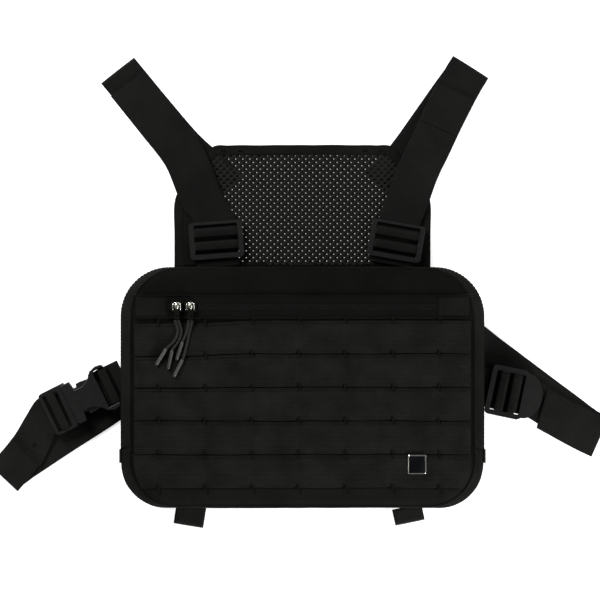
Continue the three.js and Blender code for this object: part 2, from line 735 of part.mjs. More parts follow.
function buildBelt() {
  const group = buckleGroup();
  buildMale(group);
  buildFemale(group);
  const reach = (-halfWidth - 0.9 - buckle.x) / Math.cos(THREE.MathUtils.degToRad(buckle.turn));
  const skew = (beltWidth / 2) * Math.tan(THREE.MathUtils.degToRad(buckle.turn));
  const seam = reach - skew - femaleBarX;
  addMesh('buckle_anchor', webbing(turnedToX(wrapKeys(femaleBarX, 1, seam, seam)), beltWidth), webbingCloth, group);

  const toWorld = ([x, y, z, angle]) => {
    const turn = THREE.MathUtils.degToRad(buckle.turn);
    return [
      buckle.x + x * Math.cos(turn) - y * Math.sin(turn),
      buckle.y + x * Math.sin(turn) + y * Math.cos(turn),
      buckle.webZ + loadDrop + z,
      angle + buckle.turn,
    ];
  };
  const wrap = turnedToX(wrapKeys(maleBarX, -1, 9.6, 12)).reverse().map(toWorld);
  const leftFold = { x: -249.3, y: -77.6, heading: -131, widthAngle: 137 };
  const leftCut = 6;
  const foldLeft = foldKeys(
    leftFold.x, leftFold.y, leftFold.heading, leftFold.widthAngle, secondWebZ, floorWebZ, leftCut,
  );
  const front = [
    [-219.6, -36, secondWebZ + 0.1, 128],
    [-229.6, -53.5, secondWebZ, 134],
  ];
  addMesh('belt_left', webbing([...wrap, ...front, ...foldLeft], beltWidth), webbingCloth);

  const leave = THREE.MathUtils.degToRad(leftFold.heading);
  const radius = (secondWebZ - floorWebZ) / 2;
  const cut = radius + leftCut + gap;
  const rightFold = foldKeys(249.2, -40.9, -24, 66, floorWebZ, secondWebZ, 8);
  const padHalf = padWidth / 2;
  const strapEnd = strapStart(tensioner, gap, secondWebZ);
  const back = [
    [leftFold.x - cut * Math.cos(leave), leftFold.y - cut * Math.sin(leave), floorWebZ, leftFold.widthAngle],
    [-210, -48, floorWebZ, 126],
    [-173, -24.2, floorWebZ, 125],
    [-padHalf - 30, -14, floorWebZ, 125],
    [-padHalf - 24, -9.7, floorWebZ, 125],
    [-padHalf - 11, -0.6, beltZ, 124],
    [-padHalf - 4, 4.2, beltZ, 123],
    [-80, 34, beltZ, 112],
    [-6, 62, beltZ, 92],
    [68, 66, beltZ, 70],
    [padHalf + 3, 45, beltZ, 54],
    [padHalf + 11, 39, beltZ, 52.5],
    [padHalf + 24, 29, floorWebZ, 52.5],
    [padHalf + 30, 24.4, floorWebZ, 52.5],
    [186, 3.3, floorWebZ, 52.5],
    [220, -22, floorWebZ, 56],
    ...rightFold,
    [215, -25, secondWebZ, 72],
    [...strapEnd, tensioner.turn + 180],
  ];
  addMesh('belt_back', webbing(back, beltWidth), webbingCloth);
}

function buildTensioner() {
  const sideX = halfWidth + gap;
  const lean = THREE.MathUtils.degToRad(tensioner.turn + 90);
  const skew = (beltWidth / 2) * Math.tan(Math.abs(lean));
  tensioner.seamDistance = (tensioner.x - sideX) / Math.cos(lean) - skew - gap;
  buildLock('belt_tensioner', tensioner);
}

// ---- webbing loops under the bag ----

function buildLoops() {
  const loops = [
    { name: 'bottom_loop_left', x: -92.6, turn: 9, length: 16 },
    { name: 'bottom_loop_right', x: 86.8, turn: -12, length: 13 },
  ];
  for (const loop of loops) {
    const turn = THREE.MathUtils.degToRad(loop.turn);
    const heading = 270 - loop.turn;
    const top = backWallTop + gap + 1.2 + 2 * webThickness;
    const bottom = backWallTop + gap;
    const seamY = -halfHeight - gap - (loopWidth / 2) * Math.abs(Math.sin(turn)) - 1.4;
    const endX = loop.x - loop.length * Math.sin(turn);
    const endY = seamY - loop.length * Math.cos(turn);
    const fold = foldKeys(endX, endY, heading, -loop.turn, top, bottom, 4);
    const at = (z) => [loop.x, seamY, z, -loop.turn];
    addMesh(loop.name, webbing([at(top), ...fold, at(bottom)], loopWidth), webbingCloth);
  }
}

buildShell();
buildFront();
buildPocketPulls();
buildMainSliders();
buildBib();
buildShoulder('left');
buildShoulder('right');
buildTensioner();
buildBelt();
buildLoops();

export default bag;
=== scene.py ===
import math

import bmesh
import bpy
from mathutils import Matrix, Vector, noise


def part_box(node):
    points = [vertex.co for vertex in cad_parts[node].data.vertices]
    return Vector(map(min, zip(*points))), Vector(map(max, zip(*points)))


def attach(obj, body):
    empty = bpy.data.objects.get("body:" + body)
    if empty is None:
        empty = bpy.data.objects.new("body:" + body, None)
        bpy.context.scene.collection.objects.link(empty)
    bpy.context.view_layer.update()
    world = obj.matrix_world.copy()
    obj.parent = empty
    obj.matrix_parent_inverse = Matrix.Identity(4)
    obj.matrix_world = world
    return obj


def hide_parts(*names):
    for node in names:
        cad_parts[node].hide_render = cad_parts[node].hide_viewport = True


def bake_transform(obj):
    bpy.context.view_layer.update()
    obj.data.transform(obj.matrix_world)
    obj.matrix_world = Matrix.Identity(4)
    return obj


# Black chest bag with a mesh bib, shoulder straps and a waist belt, laid on its back.
# Shapes are worked out in millimetres and made metres when a piece is finished.
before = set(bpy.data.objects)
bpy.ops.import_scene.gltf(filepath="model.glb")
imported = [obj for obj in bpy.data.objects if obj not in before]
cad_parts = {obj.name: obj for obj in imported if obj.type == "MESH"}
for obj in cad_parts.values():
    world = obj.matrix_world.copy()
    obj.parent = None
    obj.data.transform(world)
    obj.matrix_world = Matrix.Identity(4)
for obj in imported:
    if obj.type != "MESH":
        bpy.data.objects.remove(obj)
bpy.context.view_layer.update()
mm = 0.001
print("frame loaded,", len(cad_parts), "nodes")


def boxOf(node):
    low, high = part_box(node)
    return low / mm, high / mm


upperLow, upperHigh = boxOf("front_panel_upper")
lowerHigh = boxOf("front_panel_lower")[1]
wallLow, wallHigh = boxOf("back_wall")
padLow, padHigh = boxOf("back_pad")
zipLow, zipHigh = boxOf("rear_zip")
lidZipLow = boxOf("lid_zip")[0]
bibLow, bibHigh = boxOf("bib_binding")
tapeLow, tapeHigh = boxOf("pocket_zip")
badgeLow, badgeHigh = boxOf("badge")

bag = {
    "halfWidth": upperHigh.x,
    "halfHeight": upperHigh.y,
    "topRadius": 40,
    "bottomRadius": 36,
    "sideBulge": 10,
    "topBulge": 1,
    "bottomBulge": 4,
    "back": wallHigh.z,
    "front": upperLow.z,
    "face": upperHigh.z,
    "hingeY": (upperLow.y + lowerHigh.y) / 2,
    "zipEndY": zipLow.y,
    "zipPlane": (zipHigh.z + lidZipLow.z) / 2,
    "cloth": 1.5,
}
gap = 0.3
webThick = 1.3
halfLayer = gap + 0.7  # from a surface to the middle of the webbing that lies on it
layerStep = 1.7  # from one webbing to the next one on top of it

# ---- camera, lights and floor ----

view = {"x": -2.04, "y": 71.0, "height": 2500.0, "widthAtFace": 489.0, "sensor": 36.0}
studio = {
    "lamps": [  # name, place in metres, size, watts
        ("key", (-0.95, 1.15, 1.25), 0.7, 33.0),
        ("fill", (1.3, -0.2, 1.2), 1.0, 9.0),
        ("rim", (0.75, -0.95, 0.55), 0.35, 13.0),
    ],
    "aim": (0, 0.07, 0.03), "ambient": 0.2, "floorHalf": 3.0, "floorDrop": 0.0004, "floorGlow": 0.7,
}


def addObject(name, data):
    made = bpy.data.objects.new(name, data)
    bpy.context.scene.collection.objects.link(made)
    return made


def makeStage():
    camera = bpy.data.cameras.new("camera")
    camera.sensor_width = view["sensor"]
    camera.lens = view["sensor"] * (view["height"] - bag["face"]) / view["widthAtFace"]
    holder = addObject("camera", camera)
    holder.location = Vector((view["x"], view["y"], view["height"])) * mm
    bpy.context.scene.camera = holder

    for name, place, size, power in studio["lamps"]:
        light = bpy.data.lights.new(name, "AREA")
        light.size = size
        light.energy = power
        lamp = addObject(name, light)
        lamp.location = place
        lamp.rotation_euler = (Vector(studio["aim"]) - Vector(place)).to_track_quat("-Z", "Y").to_euler()

    world = bpy.data.worlds.new("studio")
    world.use_nodes = True
    air = world.node_tree.nodes["Background"]
    air.inputs["Color"].default_value = (1, 1, 1, 1)
    air.inputs["Strength"].default_value = studio["ambient"]
    bpy.context.scene.world = world
    bpy.context.scene.view_settings.view_transform = "Standard"

    bm = bmesh.new()
    bmesh.ops.create_grid(bm, x_segments=2, y_segments=2, size=studio["floorHalf"])
    mesh = bpy.data.meshes.new("floor")
    bm.to_mesh(mesh)
    bm.free()
    floor = addObject("floor", mesh)
    floor.location.z = -studio["floorDrop"]
    paper = startMaterial("paper", {
        "Base Color": (0.9, 0.9, 0.9, 1), "Roughness": 0.9, "Specular IOR Level": 0.1,
        "Emission Color": (1, 1, 1, 1), "Emission Strength": studio["floorGlow"],
    })[0]
    mesh.materials.append(paper)


# ---- materials ----


def calc(tree, operation, *values):
    made = tree.nodes.new("ShaderNodeMath")
    made.operation = operation
    for socket, value in zip(made.inputs, values):
        if isinstance(value, bpy.types.NodeSocket):
            tree.links.new(value, socket)
        else:
            socket.default_value = value
    return made.outputs[0]


def weighted(tree, start, *parts):  # start plus each value times its weight
    total = start
    for value, weight in parts:
        total = calc(tree, "MULTIPLY_ADD", value, weight, total)
    return total


def sineOf(tree, value, spacing):  # crosses zero once every spacing
    return calc(tree, "SINE", calc(tree, "MULTIPLY", value, math.pi / spacing))


def ridges(tree, value, spacing):  # a rounded ridge every spacing
    return calc(tree, "ABSOLUTE", sineOf(tree, value, spacing))


def startMaterial(name, look):
    material = bpy.data.materials.new(name)
    material.use_nodes = True
    shader = material.node_tree.nodes["Principled BSDF"]
    for socket, value in look.items():
        shader.inputs[socket].default_value = value
    return material, material.node_tree, shader


def clothUv(tree):  # the cloth's own lie, in millimetres
    uv = tree.nodes.new("ShaderNodeUVMap")
    uv.uv_map = "lie"
    split = tree.nodes.new("ShaderNodeSeparateXYZ")
    tree.links.new(uv.outputs[0], split.inputs[0])
    return split.outputs[0], split.outputs[1]


def noiseOf(tree, scale, detail=3.0, rough=0.55):  # scale in lumps per metre
    place = tree.nodes.new("ShaderNodeTexCoord")
    made = tree.nodes.new("ShaderNodeTexNoise")
    made.inputs["Scale"].default_value = scale
    made.inputs["Detail"].default_value = detail
    made.inputs["Roughness"].default_value = rough
    tree.links.new(place.outputs["Object"], made.inputs["Vector"])
    return made.outputs["Fac"]


def colourBetween(tree, shader, dark, light, amount):
    ramp = tree.nodes.new("ShaderNodeMix")
    ramp.data_type = "RGBA"
    tree.links.new(amount, ramp.inputs["Factor"])
    ramp.inputs["A"].default_value = (*dark, 1)
    ramp.inputs["B"].default_value = (*light, 1)
    tree.links.new(ramp.outputs["Result"], shader.inputs["Base Color"])


def bumpFrom(tree, shader, height, strength, depth):
    bump = tree.nodes.new("ShaderNodeBump")
    bump.inputs["Strength"].default_value = strength
    bump.inputs["Distance"].default_value = depth * mm
    tree.links.new(height, bump.inputs["Height"])
    tree.links.new(bump.outputs[0], shader.inputs["Normal"])


def matt(sheen=0.02, specular=0.1, rough=0.82):
    return {
        "Roughness": rough,
        "Specular IOR Level": specular,
        "Sheen Weight": sheen,
        "Sheen Roughness": 0.5,
    }


def gloss(rough, specular=0.5, metal=0.0):
    return {"Roughness": rough, "Specular IOR Level": specular, "Metallic": metal}


def wovenCloth(name, pitch, dark, light, look, depth=0.12):
    # plain weave: each thread rises over every other thread that it crosses
    material, tree, shader = startMaterial(name, look)
    u, v = clothUv(tree)
    warp, weft = sineOf(tree, u, pitch), sineOf(tree, v, pitch)
    side = calc(tree, "MULTIPLY", calc(tree, "MULTIPLY", warp, weft), 6.0)
    side = calc(tree, "MAXIMUM", calc(tree, "MINIMUM", side, 1.0), -1.0)
    over = calc(tree, "MULTIPLY", calc(tree, "ABSOLUTE", warp), weighted(tree, 0.6, (side, 0.4)))
    under = calc(tree, "MULTIPLY", calc(tree, "ABSOLUTE", weft), weighted(tree, 0.6, (side, -0.4)))
    height = calc(tree, "MAXIMUM", over, under)
    cloud = noiseOf(tree, 38.0)
    slub = noiseOf(tree, 900.0, 1.0)
    # thread crests lighter and the hollows between threads darker in colour: painted shade; cloud and slub are
    # random tone
    amount = weighted(tree, -0.55, (height, 0.3), (cloud, 1.2), (slub, 0.5))
    colourBetween(tree, shader, dark, light, amount)
    bumpFrom(tree, shader, weighted(tree, height, (slub, 0.5)), 0.7, depth)
    return material


def ribbedWebbing(name, pitch, width, dark, light, look, depth=0.25):
    # ribs run along the strap, with a chevron twill on them and a flat selvedge at each edge
    material, tree, shader = startMaterial(name, look)
    u, v = clothUv(tree)
    rib = ridges(tree, u, pitch)
    slant = weighted(tree, v, (calc(tree, "PINGPONG", u, pitch), 0.8))
    twill = ridges(tree, slant, pitch * 0.62)
    edge = calc(tree, "GREATER_THAN", calc(tree, "ABSOLUTE", u), width / 2 - 1.6)
    height = weighted(tree, 0.0, (rib, 0.7), (twill, 0.45), (edge, -0.35))
    cloud = noiseOf(tree, 45.0)
    fuzz = noiseOf(tree, 1400.0, 1.0)
    # rib and twill crests lighter, grooves darker in colour: painted shade; cloud and fuzz are random tone, the
    # selvedge a lighter weave
    amount = weighted(tree, -0.6, (height, 0.4), (cloud, 1.2), (edge, 0.15), (fuzz, 0.5))
    colourBetween(tree, shader, dark, light, amount)
    bumpFrom(tree, shader, height, 0.75, depth)
    return material


def twillTape(name, dark, light, look):
    # zip tape: a fine herringbone along its length
    material, tree, shader = startMaterial(name, look)
    u, v = clothUv(tree)
    slant = weighted(tree, u, (calc(tree, "PINGPONG", v, 1.6), 0.9))
    height = ridges(tree, slant, 0.7)
    # twill crests lighter and grooves darker in colour: painted shade, with random tone from noise
    colourBetween(tree, shader, dark, light, weighted(tree, 0.0, (height, 0.4), (noiseOf(tree, 60.0), 0.6)))
    bumpFrom(tree, shader, height, 0.6, 0.1)
    return material


def spacerMesh(name, pitch, dark, light, look):
    # padded mesh: round dimples in staggered rows
    material, tree, shader = startMaterial(name, look)
    u, v = clothUv(tree)
    acrossWave = calc(tree, "COSINE", calc(tree, "MULTIPLY", u, 2 * math.pi / pitch))
    alongWave = calc(tree, "COSINE", calc(tree, "MULTIPLY", v, 2 * math.pi / (pitch * 0.6)))
    dimple = calc(tree, "MULTIPLY", acrossWave, alongWave)
    height = calc(tree, "MINIMUM", weighted(tree, 0.6, (dimple, -1.4)), 1.0)
    # dimples darker in colour than the ridges: painted shade in the hollows, with random tone from noise
    colourBetween(tree, shader, dark, light, weighted(tree, 0.0, (height, 0.6), (noiseOf(tree, 40.0), 0.4)))
    bumpFrom(tree, shader, height, 0.9, 0.5)
    return material


def threadFinish(name, dark, light, look, scale=2200.0):
    material, tree, shader = startMaterial(name, look)
    fuzz = noiseOf(tree, scale, 2.0)
    colourBetween(tree, shader, dark, light, fuzz)
    bumpFrom(tree, shader, fuzz, 0.5, 0.08)
    return material


def mouldedPlastic(name, dark, light, look):
    # fine spark texture, handling scuffs and a satin surface that varies a little
    material, tree, shader = startMaterial(name, look)
    grain = noiseOf(tree, 3200.0, 2.0)
    scuff = noiseOf(tree, 160.0, 6.0, 0.7)
    colourBetween(tree, shader, dark, light, weighted(tree, 0.0, (grain, 0.3), (scuff, 0.7)))
    tree.links.new(weighted(tree, look["Roughness"] - 0.1, (scuff, 0.22)), shader.inputs["Roughness"])
    bumpFrom(tree, shader, weighted(tree, grain, (scuff, 0.6)), 0.25, 0.05)
    return material


def platedMetal(name, dark, light, look):
    material, tree, shader = startMaterial(name, look)
    wear = noiseOf(tree, 300.0, 5.0, 0.65)
    colourBetween(tree, shader, dark, light, wear)
    tree.links.new(weighted(tree, look["Roughness"] - 0.1, (wear, 0.25)), shader.inputs["Roughness"])
    bumpFrom(tree, shader, wear, 0.2, 0.04)
    return material


def braidedCord(name, dark, light, look):
    # two sets of strands wound opposite ways
    material, tree, shader = startMaterial(name, look)
    u, v = clothUv(tree)
    turn = calc(tree, "MULTIPLY", u, 2 * math.pi)
    step = calc(tree, "MULTIPLY", v, 2 * math.pi / 1.7)
    right = calc(tree, "ABSOLUTE", calc(tree, "SINE", calc(tree, "ADD", turn, step)))
    left = calc(tree, "ABSOLUTE", calc(tree, "SINE", calc(tree, "SUBTRACT", turn, step)))
    height = calc(tree, "MAXIMUM", right, left)
    # strand crests lighter and the grooves between them darker in colour: painted shade
    colourBetween(tree, shader, dark, light, height)
    bumpFrom(tree, shader, height, 0.8, 0.2)
    return material


def grey(value, warm=0.88):
    return (value, value * 0.995, value * warm)


oxford = wovenCloth("oxford", 0.62, grey(0.0012), grey(0.0052), matt(0.0, 0.06))
patchCloth = wovenCloth("patchCloth", 0.62, grey(0.002), grey(0.0085), matt(0.0, 0.08))
gussetCloth = wovenCloth("gussetCloth", 0.62, grey(0.003), grey(0.0105), matt(0.0, 0.02, 0.95))
liningCloth = wovenCloth("liningCloth", 0.3, grey(0.01), grey(0.016), matt(0.02, 0.25, 0.6), 0.05)
ladderWeb = ribbedWebbing("ladderWeb", 2.0, 27, grey(0.001), grey(0.0118), matt(0.0, 0.08, 0.8), 0.4)
shoulderWeb = ribbedWebbing("shoulderWeb", 1.3, 35, grey(0.0012), grey(0.0062), matt(0.0, 0.1, 0.6))
beltWeb = ribbedWebbing("beltWeb", 1.3, 32, grey(0.0015), grey(0.0092), matt(0.0, 0.1, 0.6))
loopWeb = ribbedWebbing("loopWeb", 1.3, 25, grey(0.004), grey(0.014), matt(0.02, 0.12, 0.6))
bindingWeb = ribbedWebbing("bindingWeb", 0.9, 60, grey(0.001), grey(0.0105), matt(0.0, 0.08, 0.8), 0.15)
zipTapeCloth = twillTape("zipTapeCloth", grey(0.001), grey(0.005), matt(0.0, 0.06, 0.8))
airMesh = threadFinish("airMesh", grey(0.004), grey(0.015), matt(0.03, 0.1, 0.7))
padMesh = spacerMesh("padMesh", 4.2, grey(0.004), grey(0.014), matt(0.08, 0.15, 0.8))
thread = threadFinish("thread", grey(0.0015), grey(0.005), matt(0.0, 0.1, 0.7))
coilNylon = mouldedPlastic("coilNylon", grey(0.002), grey(0.005), gloss(0.5, 0.15))
acetal = mouldedPlastic("acetal", grey(0.0022), grey(0.0055), gloss(0.36, 0.42))
capPlastic = mouldedPlastic("capPlastic", grey(0.02), grey(0.055), gloss(0.3))
nickel = platedMetal("nickel", grey(0.45), grey(0.75), gloss(0.2, metal=1.0))
blackNickel = platedMetal("blackNickel", grey(0.012), grey(0.03), gloss(0.3, metal=1.0))
badgeField = mouldedPlastic("badgeField", (0.0012, 0.0014, 0.002), (0.002, 0.0024, 0.0035), gloss(0.3, 0.12))
cordBraid = braidedCord("cordBraid", grey(0.003), grey(0.014), matt(0.03, 0.2, 0.6))
print("materials made")


# ---- shape helpers, in millimetres ----


def bentGrid(across, along, place):
    # place gives the point and the cloth's lie for column i and row j
    bm = bmesh.new()
    bmesh.ops.create_grid(bm, x_segments=across, y_segments=along, size=0.5)
    lie = bm.loops.layers.uv.new("lie")
    spots = {}
    for vert in bm.verts:
        i = round((vert.co.x + 0.5) * across)
        j = round((vert.co.y + 0.5) * along)
        spots[vert] = place(i, j)
    for face in bm.faces:
        for loop in face.loops:
            loop[lie].uv = spots[loop.vert][1]
    for vert, (spot, _) in spots.items():
        vert.co = spot
    return bm


def finishPiece(
    name, bm, material, body=None, across=None, slot=None, replaces=(), thick=0.0, edge=0.0, rounds=0,
):  # thick, edge and rounds are for the modifiers; across is two bodies and where a bend would start and end, but such a piece is not bent, only baked in place
    bmesh.ops.scale(bm, vec=(mm, mm, mm), verts=bm.verts)
    mesh = bpy.data.meshes.new(name)
    bm.to_mesh(mesh)
    bm.free()
    mesh.materials.append(material)
    mesh.shade_smooth()
    piece = addObject(name, mesh)
    if thick:
        wall = piece.modifiers.new("wall", "SOLIDIFY")
        wall.thickness = thick * mm
        wall.offset = 0
        wall.use_even_offset = True
    if edge:
        bevel = piece.modifiers.new("edge", "BEVEL")
        bevel.width = edge * mm
        bevel.segments = 2
        bevel.limit_method = "ANGLE"
        bevel.angle_limit = math.radians(55)
    if rounds:
        smooth = piece.modifiers.new("smooth", "SUBSURF")
        smooth.levels = rounds
        smooth.render_levels = rounds
    if across:
        bodyA, bodyB, start, end = across
        Vector(start) * mm
        Vector(end) * mm
        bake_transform(piece)
    else:
        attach(piece, body)
    if replaces:
        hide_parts(*replaces)
    return piece


def towards(degrees):
    return Vector((math.cos(math.radians(degrees)), math.sin(math.radians(degrees)), 0))


def arcPoints(x, y, radius, start, stop, steps=16):
    return [Vector((x, y, 0)) + towards(start + (stop - start) * i / steps) * radius for i in range(steps + 1)]


def lengthsAlong(points):
    total = [0.0]
    for a, b in zip(points, points[1:]):
        total.append(total[-1] + (b - a).length)
    return total


def spaced(points, count):
    total = lengthsAlong(points)
    made = []
    k = 0
    for i in range(count + 1):
        want = total[-1] * i / count
        while k < len(points) - 2 and total[k + 1] < want:
            k += 1
        share = (want - total[k]) / max(total[k + 1] - total[k], 1e-9)
        made.append(points[k].lerp(points[k + 1], min(share, 1.0)))
    return made


def curveThrough(keys, perKey):
    # a smooth line through keys of any dimension, the first three of which are the place
    spots = [Vector(key) for key in keys]
    spots = [spots[0] * 2 - spots[1], *spots, spots[-1] * 2 - spots[-2]]
    made = []
    for p0, p1, p2, p3 in zip(spots, spots[1:], spots[2:], spots[3:]):
        t1 = max((p1 - p0).xyz.length, 1e-4) ** 0.5
        t2 = t1 + max((p2 - p1).xyz.length, 1e-4) ** 0.5
        t3 = t2 + max((p3 - p2).xyz.length, 1e-4) ** 0.5
        for i in range(perKey):
            t = t1 + (t2 - t1) * i / perKey
            a1 = p0.lerp(p1, t / t1)
            a2 = p1.lerp(p2, (t - t1) / (t2 - t1))
            a3 = p2.lerp(p3, (t - t2) / (t3 - t2))
            b1 = a1.lerp(a2, t / t2)
            b2 = a2.lerp(a3, (t - t1) / (t3 - t1))
            made.append(b1.lerp(b2, (t - t1) / (t2 - t1)))
    made.append(spots[-2].copy())
    return made


def lump(x, y, seed, size):  # smooth noise from -1 to 1, lumps about size millimetres wide
    return noise.noise(Vector((x / size, y / size, seed * 7.31)))


def ease(value):
    t = min(max(value, 0.0), 1.0)
    return t * t * (3 - 2 * t)


def aheadAt(path, j):
    return (path[min(j + 1, len(path) - 1)] - path[max(j - 1, 0)]).normalized()


def sideAndUp(path, j):  # two ways across a path that stays near level
    ahead = aheadAt(path, j)
    side = ahead.cross(Vector((0, 0, 1))).normalized()
    return side, side.cross(ahead).normalized()


def bevelEdges(bm, edges, offset, segments):
    bmesh.ops.bevel(
        bm, geom=edges, offset=offset, offset_type="OFFSET", segments=segments, profile=0.5,
        affect="EDGES", clamp_overlap=True, material=-1,
    )


def mergeAndFace(bm):
    bmesh.ops.remove_doubles(bm, verts=bm.verts, dist=0.001)
    openEdges = [edge for edge in bm.edges if edge.is_boundary]
    if openEdges:
        bmesh.ops.holes_fill(bm, edges=openEdges, sides=0)
    bmesh.ops.recalc_face_normals(bm, faces=bm.faces)
    return bm


def bandAlong(path, width, height, sides=12, square=0.75):
    # a closed flat tube along a path that stays near level; square 1 is an ellipse
    total = lengthsAlong(path)

    def place(i, j):
        side, up = sideAndUp(path, j)
        angle = 2 * math.pi * i / sides
        c, s = math.cos(angle), math.sin(angle)
        right = math.copysign(abs(c) ** square, c) * width / 2
        rise = math.copysign(abs(s) ** square, s) * height / 2
        return path[j] + side * right + up * rise, (right, total[j])

    return mergeAndFace(bentGrid(sides, len(path) - 1, place))


def addStitches(bm, path, pitch=3.2, long=2.3, radius=0.26):
    # short raised threads along a path
    count = max(1, round(lengthsAlong(path)[-1] / pitch))
    spots = spaced(path, count)
    for a, b in zip(spots, spots[1:]):
        middle = (a + b) / 2
        turn = (b - a).to_track_quat("Z", "Y").to_matrix().to_4x4()
        bmesh.ops.create_cone(
            bm, cap_ends=True, segments=6, radius1=radius, radius2=radius, depth=long,
            matrix=Matrix.Translation(middle) @ turn,
        )


fineStitch = {"pitch": 3.0, "long": 2.1, "radius": 0.22}
hemStitch = {"pitch": 3.0, "long": 2.2, "radius": 0.26}


def addTack(bm, x, y, z, long, turn=0.0, wide=1.7, pitch=0.62):
    # a bar tack: threads laid side by side across its length
    ahead = Matrix.Rotation(math.radians(turn), 4, "Z")
    count = round(long / pitch)
    for i in range(count):
        offset = (i - (count - 1) / 2) * pitch
        place = Matrix.Translation((x, y, z)) @ ahead @ Matrix.Translation((0, offset, 0))
        bmesh.ops.create_cone(
            bm, cap_ends=True, segments=6, radius1=0.36, radius2=0.36, depth=wide,
            matrix=place @ Matrix.Rotation(math.radians(90), 4, "Y"),
        )


def roundedCopy(node, name, material, body, edge, slot, segments=3):
    # a CAD shape with its moulded or pressed edges rounded
    bm = bmesh.new()
    bm.from_mesh(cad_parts[node].data)
    bmesh.ops.scale(bm, vec=(1 / mm, 1 / mm, 1 / mm), verts=bm.verts)
    bmesh.ops.remove_doubles(bm, verts=bm.verts, dist=0.002)
    bmesh.ops.dissolve_limit(bm, angle_limit=math.radians(2), verts=bm.verts, edges=bm.edges)
    sharp = [e for e in bm.edges if len(e.link_faces) == 2 and e.calc_face_angle(0) > math.radians(32)]
    bevelEdges(bm, sharp, edge, segments)
    piece = finishPiece(name, bm, material, body, slot=slot, replaces=[node])
    even = piece.modifiers.new("even", "WEIGHTED_NORMAL")
    even.keep_sharp = False
    return piece


# stitches are gathered for each body and finished together
stitches = {body: bmesh.new() for body in ("bag", "lid", "bib", "male")}

# ---- bag shell ----


def halfWidthAt(
    y, halfWidth=bag["halfWidth"], halfHeight=bag["halfHeight"],
    topRadius=bag["topRadius"], bottomRadius=bag["bottomRadius"],
):
    radius = topRadius if y > 0 else bottomRadius
    past = abs(y) - (halfHeight - radius)
    if past <= 0:
        return halfWidth
    return halfWidth - radius + math.sqrt(max(radius * radius - past * past, 0.0))


def rimDistance(x, y):
    radius = bag["topRadius"] if y > 0 else bag["bottomRadius"]
    beyondX = abs(x) - (bag["halfWidth"] - radius)
    beyondY = abs(y) - (bag["halfHeight"] - radius)
    outside = math.hypot(max(beyondX, 0), max(beyondY, 0))
    return radius - outside - min(max(beyondX, beyondY), 0)


def nearRim(x, y, reach=7):  # 1 at the seam round the front, 0 from reach inwards
    return max(0.0, 1 - rimDistance(x, y) / reach)


def swell(z):
    return math.sin(math.pi * min(max((z - bag["back"]) / (bag["front"] - bag["back"]), 0), 1))


def bulged(spot, z, inset=0.0):
    # a point of the seam's outline moved out to where the gusset is at height z
    amount = swell(z)
    flatX = bag["halfWidth"] - bag["topRadius"]
    flatY = bag["halfHeight"] - bag["topRadius"]
    towardX = min(max(spot.x / flatX, -1), 1)
    towardY = min(max(spot.y / flatY, -1), 1)
    upDown = bag["topBulge"] if spot.y > 0 else bag["bottomBulge"]
    return Vector((
        spot.x + towardX * (bag["sideBulge"] * amount - inset),
        spot.y + towardY * (upDown * amount - inset),
        z,
    ))


def halfOutline(side, count, endY):
    # over the top of the bag when side is 1, under its bottom when side is -1
    w, h = bag["halfWidth"], bag["halfHeight"]
    r = bag["topRadius"] if side > 0 else bag["bottomRadius"]
    line = [Vector((-w, side * endY, 0)), *arcPoints(r - w, h - r, r, 180, 90)]
    line += [*arcPoints(w - r, h - r, r, 90, 0), Vector((w, side * endY, 0))]
    return spaced([spot * side for spot in line], count)


def makeFrontPanel():
    panel = {"columns": 96, "rows": 110, "roll": 6.0, "drop": 3.2, "sag": 0.5}

    def place(i, j):
        y = bag["halfHeight"] * math.sin(math.pi * (j / panel["rows"] - 0.5))
        x = halfWidthAt(y) * (2 * i / panel["columns"] - 1)
        near = nearRim(x, y, panel["roll"])
        z = bag["face"] - bag["cloth"] / 2 - 0.1 - panel["drop"] * near * near
        z -= panel["sag"] * (0.5 + 0.5 * lump(x, y, 1, 34))
        return Vector((x, y, z)), (x, y)

    hinge = bag["hingeY"]
    piece = finishPiece(
        "frontPanel", bentGrid(panel["columns"], panel["rows"], place), oxford,
        across=("bag", "lid", (0, hinge - 4, bag["face"]), (0, hinge + 4, bag["face"])),
        slot="fabric", replaces=["front_panel_upper", "front_panel_lower"], thick=bag["cloth"],
    )
    piece.data.materials.append(patchCloth)
    for face in piece.data.polygons:  # the part below the ladder is a more worn cloth
        if face.center.y < bag["hingeY"] * mm:
            face.material_index = 1


def gussetWall(name, outline, z0, z1, body, replaces, seed, levels=14, ripple=0.9, material=None):
    last = len(outline) - 1
    total = lengthsAlong(outline)

    def place(i, j):
        z = z0 + (z1 - z0) * j / levels
        spot = bulged(outline[i], z, bag["cloth"] / 2)
        out = Vector((spot.x / bag["halfWidth"], spot.y / bag["halfHeight"], 0)).normalized()
        free = math.sin(math.pi * j / levels)
        crease = lump(total[i], z * 1.8, seed, 26) * 0.7 + lump(total[i], z * 0.7, seed + 3, 9) * 0.3
        return spot - out * ripple * free * (0.5 + 0.5 * crease), (total[i], z)

    bm = bentGrid(last, levels, place)
    return finishPiece(
        name, bm, material or gussetCloth, body, slot="fabric", replaces=replaces, thick=bag["cloth"],
    )


def zipTapeWall(name, outline, z0, z1, body, replaces):
    # each half of the main zip: a recessed tape that ends at the coil
    last = len(outline) - 1
    total = lengthsAlong(outline)

    def place(i, j):
        z = z0 + (z1 - z0) * j / 4
        return bulged(outline[i], z, 1.3), (total[i], z)

    finishPiece(name, bentGrid(last, 4, place), zipTapeCloth, body, slot="zip", replaces=replaces, thick=0.8)


def addTooth(bm, place):
    bmesh.ops.create_uvsphere(bm, u_segments=6, v_segments=4, radius=1.0, matrix=place)


